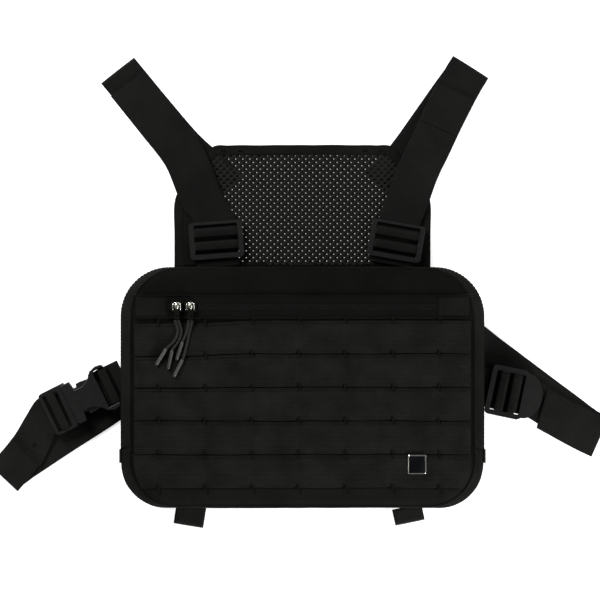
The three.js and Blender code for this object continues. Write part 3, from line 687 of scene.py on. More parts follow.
def mainCoil(name, outline, z, body):
    bm = bmesh.new()
    count = round(lengthsAlong(outline)[-1] / mainZip["pitch"])
    spots = spaced([bulged(p, z, 0.9) for p in outline], count)
    for a, b in zip(spots, spots[1:]):
        ahead = (b - a).normalized()
        place = Matrix.Translation((a + b) / 2) @ ahead.to_track_quat("X", "Z").to_matrix().to_4x4()
        addTooth(bm, place @ Matrix.Diagonal((0.58, 0.75, 1.05, 1)))
    finishPiece(name, bm, coilNylon, body, slot="zip")


mainZip = {"half": 3.4, "tuck": 1.5, "opening": 0.6, "coil": 0.75, "stitchOff": 1.8, "pitch": 1.55}


def makeShell():
    plane = bag["zipPlane"]
    endUp, endDown = bag["zipEndY"], bag["zipEndY"] - gap
    upper = halfOutline(1, 190, endUp)
    lower = halfOutline(-1, 120, endDown)
    rearTop, lidBottom = plane - mainZip["half"], plane + mainZip["half"]
    gussetWall("rearGusset", upper, bag["back"] + 0.4, rearTop, "bag", ["rear_gusset"], 2)
    gussetWall("lidGusset", upper, lidBottom, bag["front"] - 0.4, "lid", ["lid_gusset"], 5)
    gussetWall("lowerGusset", lower, bag["back"] + 0.4, bag["front"] - 0.4, "bag", ["lower_gusset"], 8, 26, 1.3)
    tuck, opening = mainZip["tuck"], mainZip["opening"]
    zipTapeWall("rearZipTape", upper, rearTop - tuck, plane - opening, "bag", ["rear_zip"])
    zipTapeWall("lidZipTape", upper, plane + opening, lidBottom + tuck, "lid", ["lid_zip"])
    mainCoil("rearCoil", upper, plane - mainZip["coil"], "bag")
    mainCoil("lidCoil", upper, plane + mainZip["coil"], "lid")
    for body, z in (("bag", rearTop - mainZip["stitchOff"]), ("lid", lidBottom + mainZip["stitchOff"])):
        addStitches(stitches[body], [bulged(p, z, -0.05) for p in upper])

    # folded edges of the gusset beside the zip
    for name, z, body in (("rearZipFold", rearTop + 0.2, "bag"), ("lidZipFold", lidBottom - 0.2, "lid")):
        line = [bulged(p, z, 0.8) for p in upper]
        finishPiece(name, bandAlong(line, 1.7, 1.9, 8, 1.0), gussetCloth, body, slot="fabric")

    # welts where the gusset meets the front panel and the back
    welt = {"width": 2.6, "height": 2.3}
    hinge = bag["hingeY"]
    frontZ, backZ = bag["front"] - 0.5, bag["back"] - 0.2
    lines = {
        "lidWelt": (halfOutline(1, 150, hinge + 0.2), frontZ, "lid"),
        "frontWelt": (halfOutline(-1, 110, hinge - 0.2), frontZ, "bag"),
        "rearWeltTop": (halfOutline(1, 150, 0), backZ, "bag"),
        "rearWeltBottom": (halfOutline(-1, 120, 0), backZ, "bag"),
    }
    for name, (line, z, body) in lines.items():
        path = [bulged(p, z, 0.2) for p in line]
        path = [Vector((p.x, p.y, z)) for p in path]
        band = bandAlong(path, welt["width"], welt["height"], 10, 1.0)
        finishPiece(name, band, gussetCloth, body, slot="fabric")

    # cloth tabs over the ends of the main zip
    for name, sign in (("zipTabLeft", -1), ("zipTabRight", 1)):
        def place(i, j):
            y = endDown - 9 + 10.5 * i / 8
            z = plane - 8 + 16 * j / 10
            spot = bulged(Vector((sign * bag["halfWidth"], y, 0)), z, -0.7)
            spot.x -= sign * 0.5 * (2 * j / 10 - 1) ** 4
            return spot, (y, z)

        tab = bentGrid(8, 10, place)
        finishPiece(name, tab, bindingWeb, "bag", slot="fabric", thick=1.0, edge=0.3)


def makeBack():
    # back wall and the padded panel that lies against the wearer
    wall = {"columns": 60, "rows": 44}
    pad = {"columns": 84, "rows": 60, "radius": 30, "channel": 0.9, "columnsAt": (-64, 0, 64)}

    def placeWall(i, j):
        y = (bag["halfHeight"] - 0.8) * math.sin(math.pi * (j / wall["rows"] - 0.5))
        x = (halfWidthAt(y) - 0.6) * (2 * i / wall["columns"] - 1)
        return Vector((x, y, (wallLow.z + wallHigh.z) / 2)), (x, y)

    back = bentGrid(wall["columns"], wall["rows"], placeWall)
    finishPiece("backWall", back, liningCloth, "bag", slot="fabric", replaces=["back_wall"], thick=2.6)

    halfWide, halfHigh = padHigh.x, padHigh.y
    thick = padHigh.z - padLow.z

    def placePad(i, j):
        y = halfHigh * math.sin(math.pi * (j / pad["rows"] - 0.5))
        half = halfWidthAt(y, halfWide, halfHigh, pad["radius"], pad["radius"])
        x = half * (2 * i / pad["columns"] - 1)
        rim = min(halfWide - abs(x), halfHigh - abs(y), 12) / 12
        seam = min(abs(x - at) for at in pad["columnsAt"])
        dip = pad["channel"] * math.exp(-(seam / 3.0) ** 2)
        z = padLow.z + thick / 2 + 0.35 * (1 - rim) + 0.35 * dip
        return Vector((x, y, z)), (x, y)

    shape = bentGrid(pad["columns"], pad["rows"], placePad)
    piece = finishPiece("backPad", shape, padMesh, "bag", slot="pad_fabric", replaces=["back_pad"], thick=1.7)

    low, high = boxOf("pocket_lining")
    half, middle = (high.x - low.x) / 2, (high.z + low.z) / 2

    def placeLining(i, j):
        x = -half + 2 * half * i / 50
        y = low.y + (high.y - low.y) * j / 26
        return Vector((x, y, middle + 0.15 * lump(x, y, 4, 22))), (x, y)

    lining = finishPiece(
        "pocketLining", bentGrid(50, 26, placeLining), liningCloth, "lid",
        slot="fabric", replaces=["pocket_lining"], thick=0.5,
    )


# ---- front: ladder webbing, pocket zip, badge ----

ladder = {
    "firstColumn": -2.9 - 3 * 38.1, "pitch": 38.1, "columns": 7, "bow": 1.05, "lift": 0.3, "sag": 0.55,
    "across": 160, "along": 12, "edgeDip": 0.8, "tackDip": 0.3, "cordX": -99, "cordReach": 24,
    "seamShare": (1.0, 0.9, 0.25, 0.0, 0.1, 0.2), "seamSag": 2.6, "sagFrom": -35, "sagOver": 60,
}


def seamShift(x, seam):  # the upper seams sag towards the left
    sag = ladder["seamSag"] * ladder["seamShare"][seam] * ease((ladder["sagFrom"] - x) / ladder["sagOver"])
    return 0.5 * lump(x, seam * 31, 13, 45) - sag


def betweenColumns(x):  # 0 at a stitched column, 1 half way to the next
    share = (x - ladder["firstColumn"]) / ladder["pitch"]
    return math.sin(math.pi * (share - math.floor(share)))


def standing(x, row):  # webbing between columns stands up, but not under the pull cords
    free = betweenColumns(x) ** 0.7
    if row < 3:
        free *= 1 - 0.8 * math.exp(-(((x - ladder["cordX"]) / ladder["cordReach"]) ** 2))
    return free


def makeLadder():
    fullHalf = boxOf("ladder_row_1")[1].x
    tacks = []
    for row in range(1, 6):
        low, high = boxOf(f"ladder_row_{row}")

        def place(i, j):
            share = j / ladder["along"]
            y = low.y + 0.3 + (high.y - low.y - 0.6) * share
            half = min(fullHalf, halfWidthAt(y) - 3.2)
            x = half * (2 * i / ladder["across"] - 1)
            reach = min(half - abs(x), 6) / 6
            y += seamShift(x, row) * (1 - share) + seamShift(x, row - 1) * share
            y -= ladder["sag"] * betweenColumns(x) ** 0.7 * (1 - share) * (0.6 + 0.4 * lump(x, row * 40, 2, 30))
            across = 1 - abs(2 * share - 1) ** 3
            z = low.z + 0.75 + ladder["lift"] * across * reach - 2.2 * nearRim(x, y) ** 2
            bow = ladder["bow"] * standing(x, row) * reach
            z += bow * (0.35 + 0.65 * across) * (0.75 + 0.5 * lump(x, y, row, 28))
            z -= ladder["edgeDip"] * (1 - across)
            column = (x - ladder["firstColumn"]) / ladder["pitch"]
            toColumn = abs(column - round(column)) * ladder["pitch"]
            z -= ladder["tackDip"] * math.exp(-((toColumn / 1.6) ** 2))
            return Vector((x, y, z)), (y - (low.y + high.y) / 2, x)

        body = "lid" if row < 5 else "bag"
        finishPiece(
            f"ladderWeb{row}", bentGrid(ladder["across"], ladder["along"], place), ladderWeb, body,
            slot="webbing", replaces=[f"ladder_row_{row}"], thick=1.1, edge=0.25,
        )
        seam = []
        for k in range(61):
            x = (high.x - 1.5) * (k / 30 - 1)
            y = high.y - 2.1 + seamShift(x, row - 1)
            seam.append(Vector((x, y, high.z - 0.15 + 0.55 * standing(x, row))))
        addStitches(stitches[body], seam, **fineStitch)
        tacks.append((high.y + 0.3, body, row))
    low = boxOf("ladder_row_5")[0]
    tacks.append((low.y - 0.3, "bag", 6))
    level = boxOf("ladder_row_1")[1].z - 0.15
    for k in range(ladder["columns"]):
        x = ladder["firstColumn"] + ladder["pitch"] * k
        for y, body, row in tacks:
            y += seamShift(x, row - 1)
            if row == 5:  # at the lid's hinge each side has its own short tack
                addTack(stitches["lid"], x, y + 2.0, level + 0.1, 2.6)
                addTack(stitches["bag"], x, y - 2.2, level + 0.1, 2.6)
            else:
                addTack(stitches[body], x + lump(k * 9, row * 5, 3, 8), y, level + 0.1, 5.6)


def makePocketZip():
    zipY = (tapeLow.y + tapeHigh.y) / 2
    halfLong, halfHigh = tapeHigh.x, (tapeHigh.y - tapeLow.y) / 2
    lip = {"height": 2.2, "openHalf": 8.6}
    tooth = {"pitch": 1.5, "side": 1.15, "shift": 0.375}
    base = bag["face"] + 0.1

    def placeTape(i, j):
        x = -halfLong - 1 + (2 * halfLong + 2) * i / 110
        y = zipY - lip["openHalf"] - 1 + (2 * lip["openHalf"] + 2) * j / 14
        rise = 0.9 * math.exp(-((y - zipY) / 3.2) ** 4)
        return Vector((x, y, base + 0.3 + rise * 0.6 + 0.12 * lump(x, y, 6, 18))), (x, y)

    tape = bentGrid(110, 14, placeTape)
    finishPiece("pocketTape", tape, zipTapeCloth, "lid", slot="zip", replaces=["pocket_zip"], thick=0.5)

    bm = bmesh.new()
    count = round(2 * halfLong / tooth["pitch"])
    for i in range(count):
        x = -halfLong + 2 * halfLong * (i + 0.5) / count
        for sign in (-1, 1):
            spot = (x + sign * tooth["shift"], zipY + sign * tooth["side"], base + 1.15)
            addTooth(bm, Matrix.Translation(spot) @ Matrix.Diagonal((0.5, 1.45, 0.5, 1)))
    finishPiece("pocketCoil", bm, coilNylon, "lid", slot="zip")

    # turned edges of the front cloth round the zip, and their stitching
    for name, side, y, half, wide in (
        ("pocketLipTop", 1, zipY + lip["openHalf"] + 0.6, 139, 2.2),
        ("pocketLipBottom", -1, zipY - lip["openHalf"] - 0.2, 136, 3.0),
    ):
        line = []
        for k in range(91):
            x = half * (k / 45 - 1)
            line.append(Vector((x, y + 0.35 * lump(x, y, 12, 26), base + 0.15 - 2.6 * nearRim(x, y) ** 2)))
        finishPiece(name, bandAlong(line, wide, lip["height"], 10, 0.8), oxford, "lid", slot="fabric")
        aside = Vector((0, side * (wide / 2 + 0.9), 0.05))
        addStitches(stitches["lid"], [p + aside for p in line[2:-2]], **fineStitch)
    for name, x in (("pocketEndLeft", -halfLong - 0.6), ("pocketEndRight", halfLong + 0.6)):
        line = [Vector((x, zipY - lip["openHalf"] + 2 * lip["openHalf"] * k / 12, base + 0.35)) for k in range(13)]
        finishPiece(name, bandAlong(line, 2.0, 1.3, 10, 0.8), oxford, "lid", slot="fabric")
        away = 2.2 if x > 0 else -2.2
        addStitches(stitches["lid"], [p + Vector((away, 0, -0.25)) for p in line], 2.8, 2.0, 0.22)

    # plain patches of front cloth past the ends of the zip
    for name, sign in (("frontPatchLeft", -1), ("frontPatchRight", 1)):
        x0, x1 = halfLong + 1.2, bag["halfWidth"] - 4.0

        def place(i, j):
            x = sign * (x0 + (x1 - x0) * i / 14)
            y = zipY - lip["openHalf"] + 2 * lip["openHalf"] * j / 10
            return Vector((x, y, base + 0.25 - 2.4 * nearRim(x, y) ** 2 + 0.1 * lump(x, y, 15, 12))), (x, y)

        finishPiece(name, bentGrid(14, 10, place), patchCloth, "lid", slot="fabric", thick=0.5)


def makeBadge():
    rim = {"wide": 1.25, "high": 1.3, "round": 0.35}
    middle = (badgeLow + badgeHigh) / 2
    size = badgeHigh - badgeLow
    bm = bmesh.new()
    bmesh.ops.create_cube(bm, size=1.0)
    bmesh.ops.scale(bm, vec=(size.x, size.y, rim["high"]), verts=bm.verts)
    top = [f for f in bm.faces if f.normal.z > 0.9]
    bmesh.ops.inset_region(bm, faces=top, thickness=rim["wide"])
    bmesh.ops.translate(bm, vec=(0, 0, -rim["high"] * 0.7), verts=top[0].verts)
    bmesh.ops.delete(bm, geom=top, context="FACES_ONLY")
    bevelEdges(bm, [e for e in bm.edges if not e.is_boundary], rim["round"], 3)
    bmesh.ops.translate(bm, vec=(middle.x, middle.y, badgeLow.z + rim["high"] / 2), verts=bm.verts)
    finishPiece("badgeRim", bm, nickel, "bag", slot="badge", replaces=["badge"])

    bm = bmesh.new()
    bmesh.ops.create_cube(bm, size=1.0)
    inside = 2 * rim["wide"] - 0.1
    bmesh.ops.scale(bm, vec=(size.x - inside, size.y - inside, 0.5), verts=bm.verts)
    bevelEdges(bm, bm.edges[:], 0.15, 2)
    bmesh.ops.translate(bm, vec=(middle.x, middle.y, badgeLow.z + 0.45), verts=bm.verts)
    finishPiece("badgePlate", bm, badgeField, "bag", slot="badge")


# ---- zip sliders, pulls and cords ----

cordSize = {"thick": 2.2, "capThick": 3.0, "capLong": 16}
cordZ = 68.3
capZ = 68.9
holeZ = 70.0
cords = {  # routes from the pull's hole down the front, and the cap's heading
    "left_outer": {
        "route": [(-103.8, 54.5, holeZ), (-102.6, 50.4, cordZ + 0.9), (-101.4, 45.5, cordZ),
                  (-104.6, 37.5, cordZ), (-110.6, 31.8, cordZ + 0.3)],
        "heading": 238,
    },
    "left_inner": {
        "route": [(-101, 54.5, holeZ), (-99.8, 50.4, cordZ + 0.9), (-98.5, 45.5, cordZ),
                  (-101.2, 36.8, cordZ), (-106, 30.6, cordZ + 0.3)],
        "heading": 258,
    },
    "right_outer": {
        "route": [(-92.6, 54.5, holeZ), (-93.3, 50.4, cordZ + 0.9), (-94.2, 46, cordZ),
                  (-95.6, 41.8, cordZ), (-97.5, 37.6, cordZ + 0.3)],
        "heading": 252,
    },
    "right_inner": {
        "route": [(-89.8, 54.5, holeZ), (-90.6, 50.4, cordZ + 0.9), (-91.8, 46.2, cordZ),
                  (-94.2, 34.6, cordZ), (-97.4, 23, cordZ + 0.3)],
        "heading": 243,
    },
}


def makeCords():
    for name, cord in cords.items():
        side = name.split("_")[0]
        ahead = towards(cord["heading"])
        end = Vector(cord["route"][-1])
        mouth = Vector((end.x, end.y, capZ)) + ahead * 0.5
        inside = [tuple(mouth + ahead * reach) for reach in (2, 7, cordSize["capLong"] - 2)]
        route = curveThrough([*cord["route"], *inside], 3)
        total = lengthsAlong(route)

        def place(i, j):
            aside, up = sideAndUp(route, j)
            turn = 2 * math.pi * i / 12
            radius = cordSize["thick"] / 2
            return route[j] + (aside * math.cos(turn) + up * math.sin(turn)) * radius, (i / 12 * 4, total[j])

        body = f"pocket_slider_{side}"
        tube = finishPiece(
            f"pullCord_{name}", mergeAndFace(bentGrid(12, len(route) - 1, place)), cordBraid,
            across=(body, f"pocket_pull_{side}", (end.x, 41, cordZ), (end.x, 54.5, cordZ)),
            slot="cord", replaces=[f"cord_{name}"],
        )

        bm = bmesh.new()
        radius, long = cordSize["capThick"] / 2, cordSize["capLong"]
        profile = [(0.05, 0), (radius * 0.86, 0), (radius, 0.7), (radius * 1.02, 3), (radius * 0.97, 8),
                   (radius, long - 1.4), (radius * 0.72, long - 0.2), (0.05, long)]
        ring = [bm.verts.new((r, 0, z)) for r, z in profile]
        edges = [bm.edges.new(pair) for pair in zip(ring, ring[1:])]
        bmesh.ops.spin(
            bm, geom=ring + edges, cent=(0, 0, 0), axis=(0, 0, 1), angle=2 * math.pi, steps=16, use_merge=True,
        )
        mergeAndFace(bm)
        bm.transform(Matrix.Translation(mouth) @ ahead.to_track_quat("Z", "Y").to_matrix().to_4x4())
        cap = finishPiece(
            f"pullCap_{name}", bm, capPlastic, body, slot="cord_cap", replaces=[f"cord_cap_{name}"], rounds=1,
        )
        Vector(cord["route"][0]) * mm


def makeSliders():
    for side in ("left", "right"):
        # bright dome, rails and nose on the slider's dark body: place from its middle, then half sizes
        low, high = boxOf(f"pocket_slider_{side}")
        middle = (low + high) / 2
        bm = bmesh.new()
        for x, y, z, wide, long, tall in (
            (0, 0.7, high.z - 0.35, 1.9, 2.6, 0.95), (-2.9, 0.3, high.z - 1.0, 0.8, 3.1, 0.8),
            (2.9, 0.3, high.z - 1.0, 0.8, 3.1, 0.8), (0, 3.3, high.z - 0.9, 2.6, 0.75, 0.8),
        ):
            place = Matrix.Translation((middle.x + x, middle.y + y, z)) @ Matrix.Diagonal((wide, long, tall, 1))
            bmesh.ops.create_uvsphere(bm, u_segments=16, v_segments=10, radius=1.0, matrix=place)
        finishPiece(f"sliderShine_{side}", bm, nickel, f"pocket_slider_{side}", slot="slider_metal")
        for zipName in ("pocket", "main"):
            for kind, edge, segments in (("Slider", 0.35, 3), ("Pull", 0.22, 2)):
                node = f"{zipName}_{kind.lower()}_{side}"
                roundedCopy(node, f"{zipName}{kind}_{side}", blackNickel, node, edge, "slider_metal", segments)


# ---- bib ----

bib = {
    "half": bibHigh.x, "bottom": bibLow.y, "top": bibHigh.y, "straightTop": bibLow.y + 60, "topHalf": 79,
    "z": (bibLow.z + bibHigh.z) / 2, "binding": 9.0,
    "holePitch": 5.85, "rowPitch": 2.84, "hole": (1.5, 0.98), "backHole": (0.7, 0.4),
}


def bindingLine():
    inset = bib["binding"] / 2
    x, top = bib["half"] - inset, bib["top"] - inset
    right = [
        (x, bib["bottom"] + 0.4, 0), (x, bib["bottom"] + 28, 0), (x - 0.1, bib["straightTop"] - 5, 0),
        (x - 3.0, bib["straightTop"] + 3, 0), (x - 14, bib["straightTop"] + 20, 0),
        (bib["topHalf"] - 1, top - 5.5, 0), (bib["topHalf"] - 6.5, top - 0.6, 0), (bib["topHalf"] - 20, top, 0),
        (20, top + 0.2, 0),
    ]
    left = [(-px, py, pz) for px, py, pz in right]
    line = curveThrough([*left, *reversed(right)], 9)
    made = []
    for k, p in enumerate(line):
        wave = 0.5 * lump(k * 6, 0, 21, 30)
        rise = wave if p.y > bib["straightTop"] else 0
        made.append(Vector((p.x, p.y + rise, bib["z"] + 0.1 * lump(p.x, p.y, 7, 25))))
    return made


def meshLayer(name, holes, z, thick, shift, replaces=()):
    # one cell of the net is a diamond with an oval hole; cells share their edges
    cell = bmesh.new()
    bmesh.ops.create_circle(cell, cap_ends=True, segments=8, radius=1.0)
    for vert in cell.verts:
        reach = 1 / (abs(vert.co.x) + abs(vert.co.y))
        vert.co.x *= reach * bib["holePitch"] / 2
        vert.co.y *= reach * bib["rowPitch"]
    inner = bmesh.ops.inset_individual(cell, faces=cell.faces[:], thickness=0.3)
    middle = [f for f in cell.faces if f not in inner["faces"]]
    for vert in middle[0].verts:
        angle = math.atan2(vert.co.y / bib["rowPitch"], vert.co.x / (bib["holePitch"] / 2))
        vert.co.x = holes[0] * math.cos(angle)
        vert.co.y = holes[1] * math.sin(angle)
    bmesh.ops.delete(cell, geom=middle, context="FACES_ONLY")
    cellMesh = bpy.data.meshes.new("netCell")
    cell.to_mesh(cellMesh)
    cell.free()

    bm = bmesh.new()
    left, right = -bib["half"] + 6.5, bib["half"] - 6.5
    low, high = bib["bottom"] + 3.0, bib["top"] - 7.5
    rows = math.ceil((high - low) / bib["rowPitch"]) + 2
    columns = math.ceil((right - left) / bib["holePitch"]) + 2
    for j in range(rows):
        for i in range(columns):
            before = len(bm.verts)
            bm.from_mesh(cellMesh)
            bm.verts.ensure_lookup_table()
            x = left + bib["holePitch"] * (i + 0.5 * (j % 2) + shift)
            y = low + bib["rowPitch"] * (j + shift)
            bmesh.ops.translate(bm, vec=(x, y, 0), verts=bm.verts[before:])
    bpy.data.meshes.remove(cellMesh)
    bmesh.ops.remove_doubles(bm, verts=bm.verts, dist=0.02)

    slopeStart = Vector((right, bib["straightTop"] - 1, 0))
    slopeEnd = Vector((bib["topHalf"] - 5, high, 0))
    slope = (slopeEnd - slopeStart).normalized()
    out = Vector((slope.y, -slope.x, 0))
    cuts = [
        (Vector((right, 0, 0)), Vector((1, 0, 0))), (Vector((left, 0, 0)), Vector((-1, 0, 0))),
        (Vector((0, high, 0)), Vector((0, 1, 0))), (Vector((0, low, 0)), Vector((0, -1, 0))),
        (slopeStart, out), (Vector((-slopeStart.x, slopeStart.y, 0)), Vector((-out.x, out.y, 0))),
    ]
    for spot, away in cuts:
        bmesh.ops.bisect_plane(
            bm, geom=bm.verts[:] + bm.edges[:] + bm.faces[:], plane_co=spot, plane_no=away, clear_outer=True,
        )
    for vert in bm.verts:
        vert.co.z = z + 0.35 * lump(vert.co.x, vert.co.y, 31, 40)
    return finishPiece(name, bm, airMesh, "bib", slot="mesh", replaces=replaces, thick=thick)


def makeBib():
    meshLayer("bibNetFront", bib["hole"], bib["z"] + 0.55, 0.5, 0.0, ["bib_mesh"])
    meshLayer("bibNetBack", bib["backHole"], bib["z"] - 0.65, 0.4, 0.18)
    line = bindingLine()
    band = bandAlong(line, bib["binding"], 2.3, 16, 0.7)
    finishPiece("bibBinding", band, bindingWeb, "bib", slot="fabric", replaces=["bib_binding"])
    top = bib["z"] + 1.2
    for offset in (-bib["binding"] / 2 + 1.3, bib["binding"] / 2 - 1.2):
        row = []
        for a, b in zip(line, line[1:]):
            side = (b - a).normalized().cross(Vector((0, 0, 1)))
            row.append(Vector((a.x + side.x * offset, a.y + side.y * offset, top - 0.12)))
        addStitches(stitches["bib"], row, 3.0, 2.1, 0.24)
    for x in (-66, -52, 52, 66):
        addTack(stitches["bib"], x, bib["top"] - 4.6, top, 4.0, 90)

    # cloth facings inside the binding on the upright sides
    facingWide, facingSteps = 11.5, (6, 24)
    for name, sign in (("bibFacingLeft", -1), ("bibFacingRight", 1)):
        def placeFacing(i, j):
            x = sign * (bib["half"] - 7.5 - facingWide * i / facingSteps[0])
            y = bib["bottom"] + 2 + (bib["straightTop"] - bib["bottom"] - 6) * j / facingSteps[1]
            return Vector((x, y, bib["z"] + 0.95 + 0.08 * lump(x, y, 19, 14))), (x, y)

        facing = bentGrid(*facingSteps, placeFacing)
        finishPiece(name, facing, patchCloth, "bib", slot="fabric", thick=0.35)

    # cloth that joins the bib to the bag's top edge
    hem = {"columns": 80, "rows": 10, "from": bag["halfHeight"] - 3.5, "to": bib["bottom"] + 5.2}

    def place(i, j):
        share = j / hem["rows"]
        x = (bib["half"] - 1.5) * (2 * i / hem["columns"] - 1)
        y = hem["from"] + (hem["to"] - hem["from"]) * share
        z = 3.9 + 0.3 * ease(share * 1.5) + 0.1 * lump(x, y, 3, 20)
        return Vector((x, y, z)), (x, y)

    low = bag["halfHeight"]
    finishPiece(
        "bibHem", bentGrid(hem["columns"], hem["rows"], place), oxford,
        across=("bag", "bib", (0, low - 1, 4), (0, low + 4.5, 4)), slot="fabric", thick=1.0,
    )


# ---- webbing ----


def webbingPiece(name, keys, width, material, perKey=3, columns=10, seed=1, wave=0.0, **finish):
    path = curveThrough(keys, perKey)
    places = [p.xyz for p in path]
    total = lengthsAlong(places)

    def place(i, j):
        across = towards(path[j][3])
        up = aheadAt(places, j).cross(across).normalized()
        share = 2 * i / columns - 1
        offset = share * width / 2
        lift = -0.12 * share ** 4 + 0.12 * lump(total[j], offset * 0.7, seed, 24)
        edge = 0.18 * lump(total[j], share * 50, seed + 5, 18)
        spot = places[j] + across * (offset + edge * share) + up * lift
        spot.z += wave * ease((spot.y - 150) / 40) * (0.5 + 0.5 * lump(spot.x, spot.y, 71, 38))
        return spot, (offset, total[j])

    bm = bentGrid(columns, len(path) - 1, place)
    return finishPiece(name, bm, material, thick=webThick, edge=0.35, **finish)


def foldKeys(fold, zIn, zOut, lead):
    # flat fold: the webbing arrives at zIn, turns over its crest and leaves at zOut
    radius = abs(zIn - zOut) / 2
    middle = (zIn + zOut) / 2
    side = math.copysign(1, zIn - zOut)
    ahead = towards(fold["heading"])

    def at(back, z):
        return (fold["x"] - back * ahead.x, fold["y"] - back * ahead.y, z, fold["across"])

    keys = [at(radius + lead, zIn), at(radius + 1, zIn)]
    for degrees in (60, 20, -20, -60):
        turn = math.radians(degrees)
        keys.append(at(radius * (1 - math.cos(turn)), middle + side * radius * math.sin(turn)))
    return keys + [at(radius + 1, zOut), at(radius + lead, zOut)]


bar = {"thick": 3.0, "wide": 5.0, "loadDrop": 4.7, "tailDrop": 3.0}


def wrapKeys(barY, direction, reachLoad, reachTail):
    # round a bar and back: the load end leaves low, the tail end just above it
    offset = halfLayer
    corner = 0.72 * offset
    side, low = bar["wide"] / 2, bar["thick"] / 2
    high = low + offset
    load, tail = bar["loadDrop"], bar["tailDrop"]
    along = [
        (reachLoad, -load), (side + 4.6, -load + 0.1), (side + 2.3, -load + 0.8),
        (side, -high - 0.1), (-side, -high), (-side - corner, -low - corner),
        (-side - offset, -low), (-side - offset, low),
        (-side - corner, low + corner), (-side, high), (side, high), (side + corner, low + corner),
        (side + offset, low - 0.3), (side + offset + 0.4, -0.6), (side + 2.7, -load + 2.5),
        (side + 4.6, -tail + 0.15), (reachTail, -tail),
    ]
    return [(0, barY + direction * reach, z, 0) for reach, z in along]


def placed(keys, spot, turn):
    # keys from a lock's or buckle's own frame into the bag's
    c, s = math.cos(math.radians(turn)), math.sin(math.radians(turn))
    return [
        (spot[0] + x * c - y * s, spot[1] + x * s + y * c, spot[2] + z, angle + turn) for x, y, z, angle in keys
    ]


def centreOf(node):
    low, high = boxOf(node)
    return (low + high) / 2


lock = {"strapBarY": 6.4, "anchorBarY": -4.6, "reach": 10.6}
lockBackingAndShade = [(0, reach, -4.8, 0) for reach in (-7.5, -2, 4, 9.3)]  # a dark flap of webbing behind a lock's slots: under the shoulder locks partly real webbing and partly painted shade, under the tensioner painted shade between the bars
shoulderWide, beltWide, loopWide = 35, 32, 25
shoulderZ = bibHigh.z + halfLayer
underBibZ = bibLow.z - halfLayer
shoulders = {
    "left": {
        "turn": 4.3,
        "front": [(-83, 153, 16), (-91, 173, 22), (-99.8, 193, 32), (-117, 215.5, 38)],
        "fold": {"x": -154.1, "y": 262.2, "heading": 130, "across": 38.2},
        "back": [(-120, 221, 39), (-100, 198, 41), (-80, 179.5, 45), (-62.2, 163.7, 48)],
        "tailEnd": (-146, 251.5, 38.2),
    },
    "right": {
        "turn": -10,
        "front": [(88.2, 156, -17), (96.4, 178.7, -21), (107, 201, -24), (116.4, 221, -24)],
        "fold": {"x": 140.3, "y": 265.1, "heading": 58, "across": -32},
        "back": [(124, 241, -34), (106, 215.5, -36), (87.1, 189.2, -37), (66.4, 166.2, -42)],
        "tailEnd": (128.2, 245, -24),
    },
}


def makeShoulders():
    for side, strap in shoulders.items():
        node = f"shoulder_lock_{side}"
        middle = centreOf(node)
        turn = strap["turn"]
        spot = (middle.x, middle.y, shoulderZ + bar["loadDrop"])
        tailZ = shoulderZ + layerStep

        def level(keys, z):
            return [(x, y, z, angle) for x, y, angle in keys]

        loadKeys = [
            *reversed(level(strap["back"], underBibZ)),
            *reversed(foldKeys(strap["fold"], shoulderZ, underBibZ, 10)),
            *reversed(level(strap["front"], shoulderZ)),
        ]
        wrap = placed(wrapKeys(lock["strapBarY"], 1, lock["reach"], lock["reach"]), spot, turn)
        tailKeys = level([*strap["front"], strap["tailEnd"]], tailZ)
        webbingPiece(
            f"shoulderWeb_{side}", [*loadKeys, *wrap, *tailKeys], shoulderWide, shoulderWeb,
            seed=11 if side == "left" else 17,
            across=("bib", f"lock_{side}", (middle.x, middle.y + 46, 6), (middle.x, middle.y + 8, 6)),
            slot="webbing", wave=3.2,
            replaces=[f"shoulder_strap_{side}", f"shoulder_tail_{side}", f"{node}_wrap"],
        )
        angle = math.radians(turn)
        seam = middle.y - bag["halfHeight"] - 2 * gap - shoulderWide / 2 * abs(math.sin(angle))
        seam = seam / math.cos(angle) + lock["anchorBarY"]
        anchor = placed(wrapKeys(lock["anchorBarY"], -1, seam, seam), spot, turn)
        webbingPiece(
            f"shoulderAnchor_{side}", anchor, shoulderWide, shoulderWeb, seed=23, body=f"lock_{side}",
            slot="webbing", replaces=[f"{node}_anchor"],
        )
        # dark flap behind the lock's slots: partly real webbing, partly painted shade between the bars
        webbingPiece(
            f"shoulderBackingAndShade_{side}", placed(lockBackingAndShade, spot, turn), shoulderWide + 2, loopWeb, 6, seed=25,
            body=f"lock_{side}", slot="webbing",
        )
        roundedCopy(node, f"ladderLock_{side}", acetal, f"lock_{side}", 0.75, "buckle_plastic")

        # end hem of the right tail: doubled webbing with two rows of stitches
        if side == "left":
            continue
        hemKeys = curveThrough(tailKeys, 6)
        for back in (2, 9):
            key = hemKeys[-back]
            ends = [key.xyz + towards(key[3]) * reach + Vector((0, 0, 2.0)) for reach in (-15.5, 15.5)]
            addStitches(stitches["bib"], spaced(ends, 8), **hemStitch)
        hem = [tuple(Vector((k[0], k[1], k[2] + 1.25, k[3]))) for k in hemKeys[-9::2]]
        webbingPiece(
            f"shoulderHem_{side}", hem, 34.6, shoulderWeb, seed=29, wave=3.2, body="bib", slot="webbing",
        )


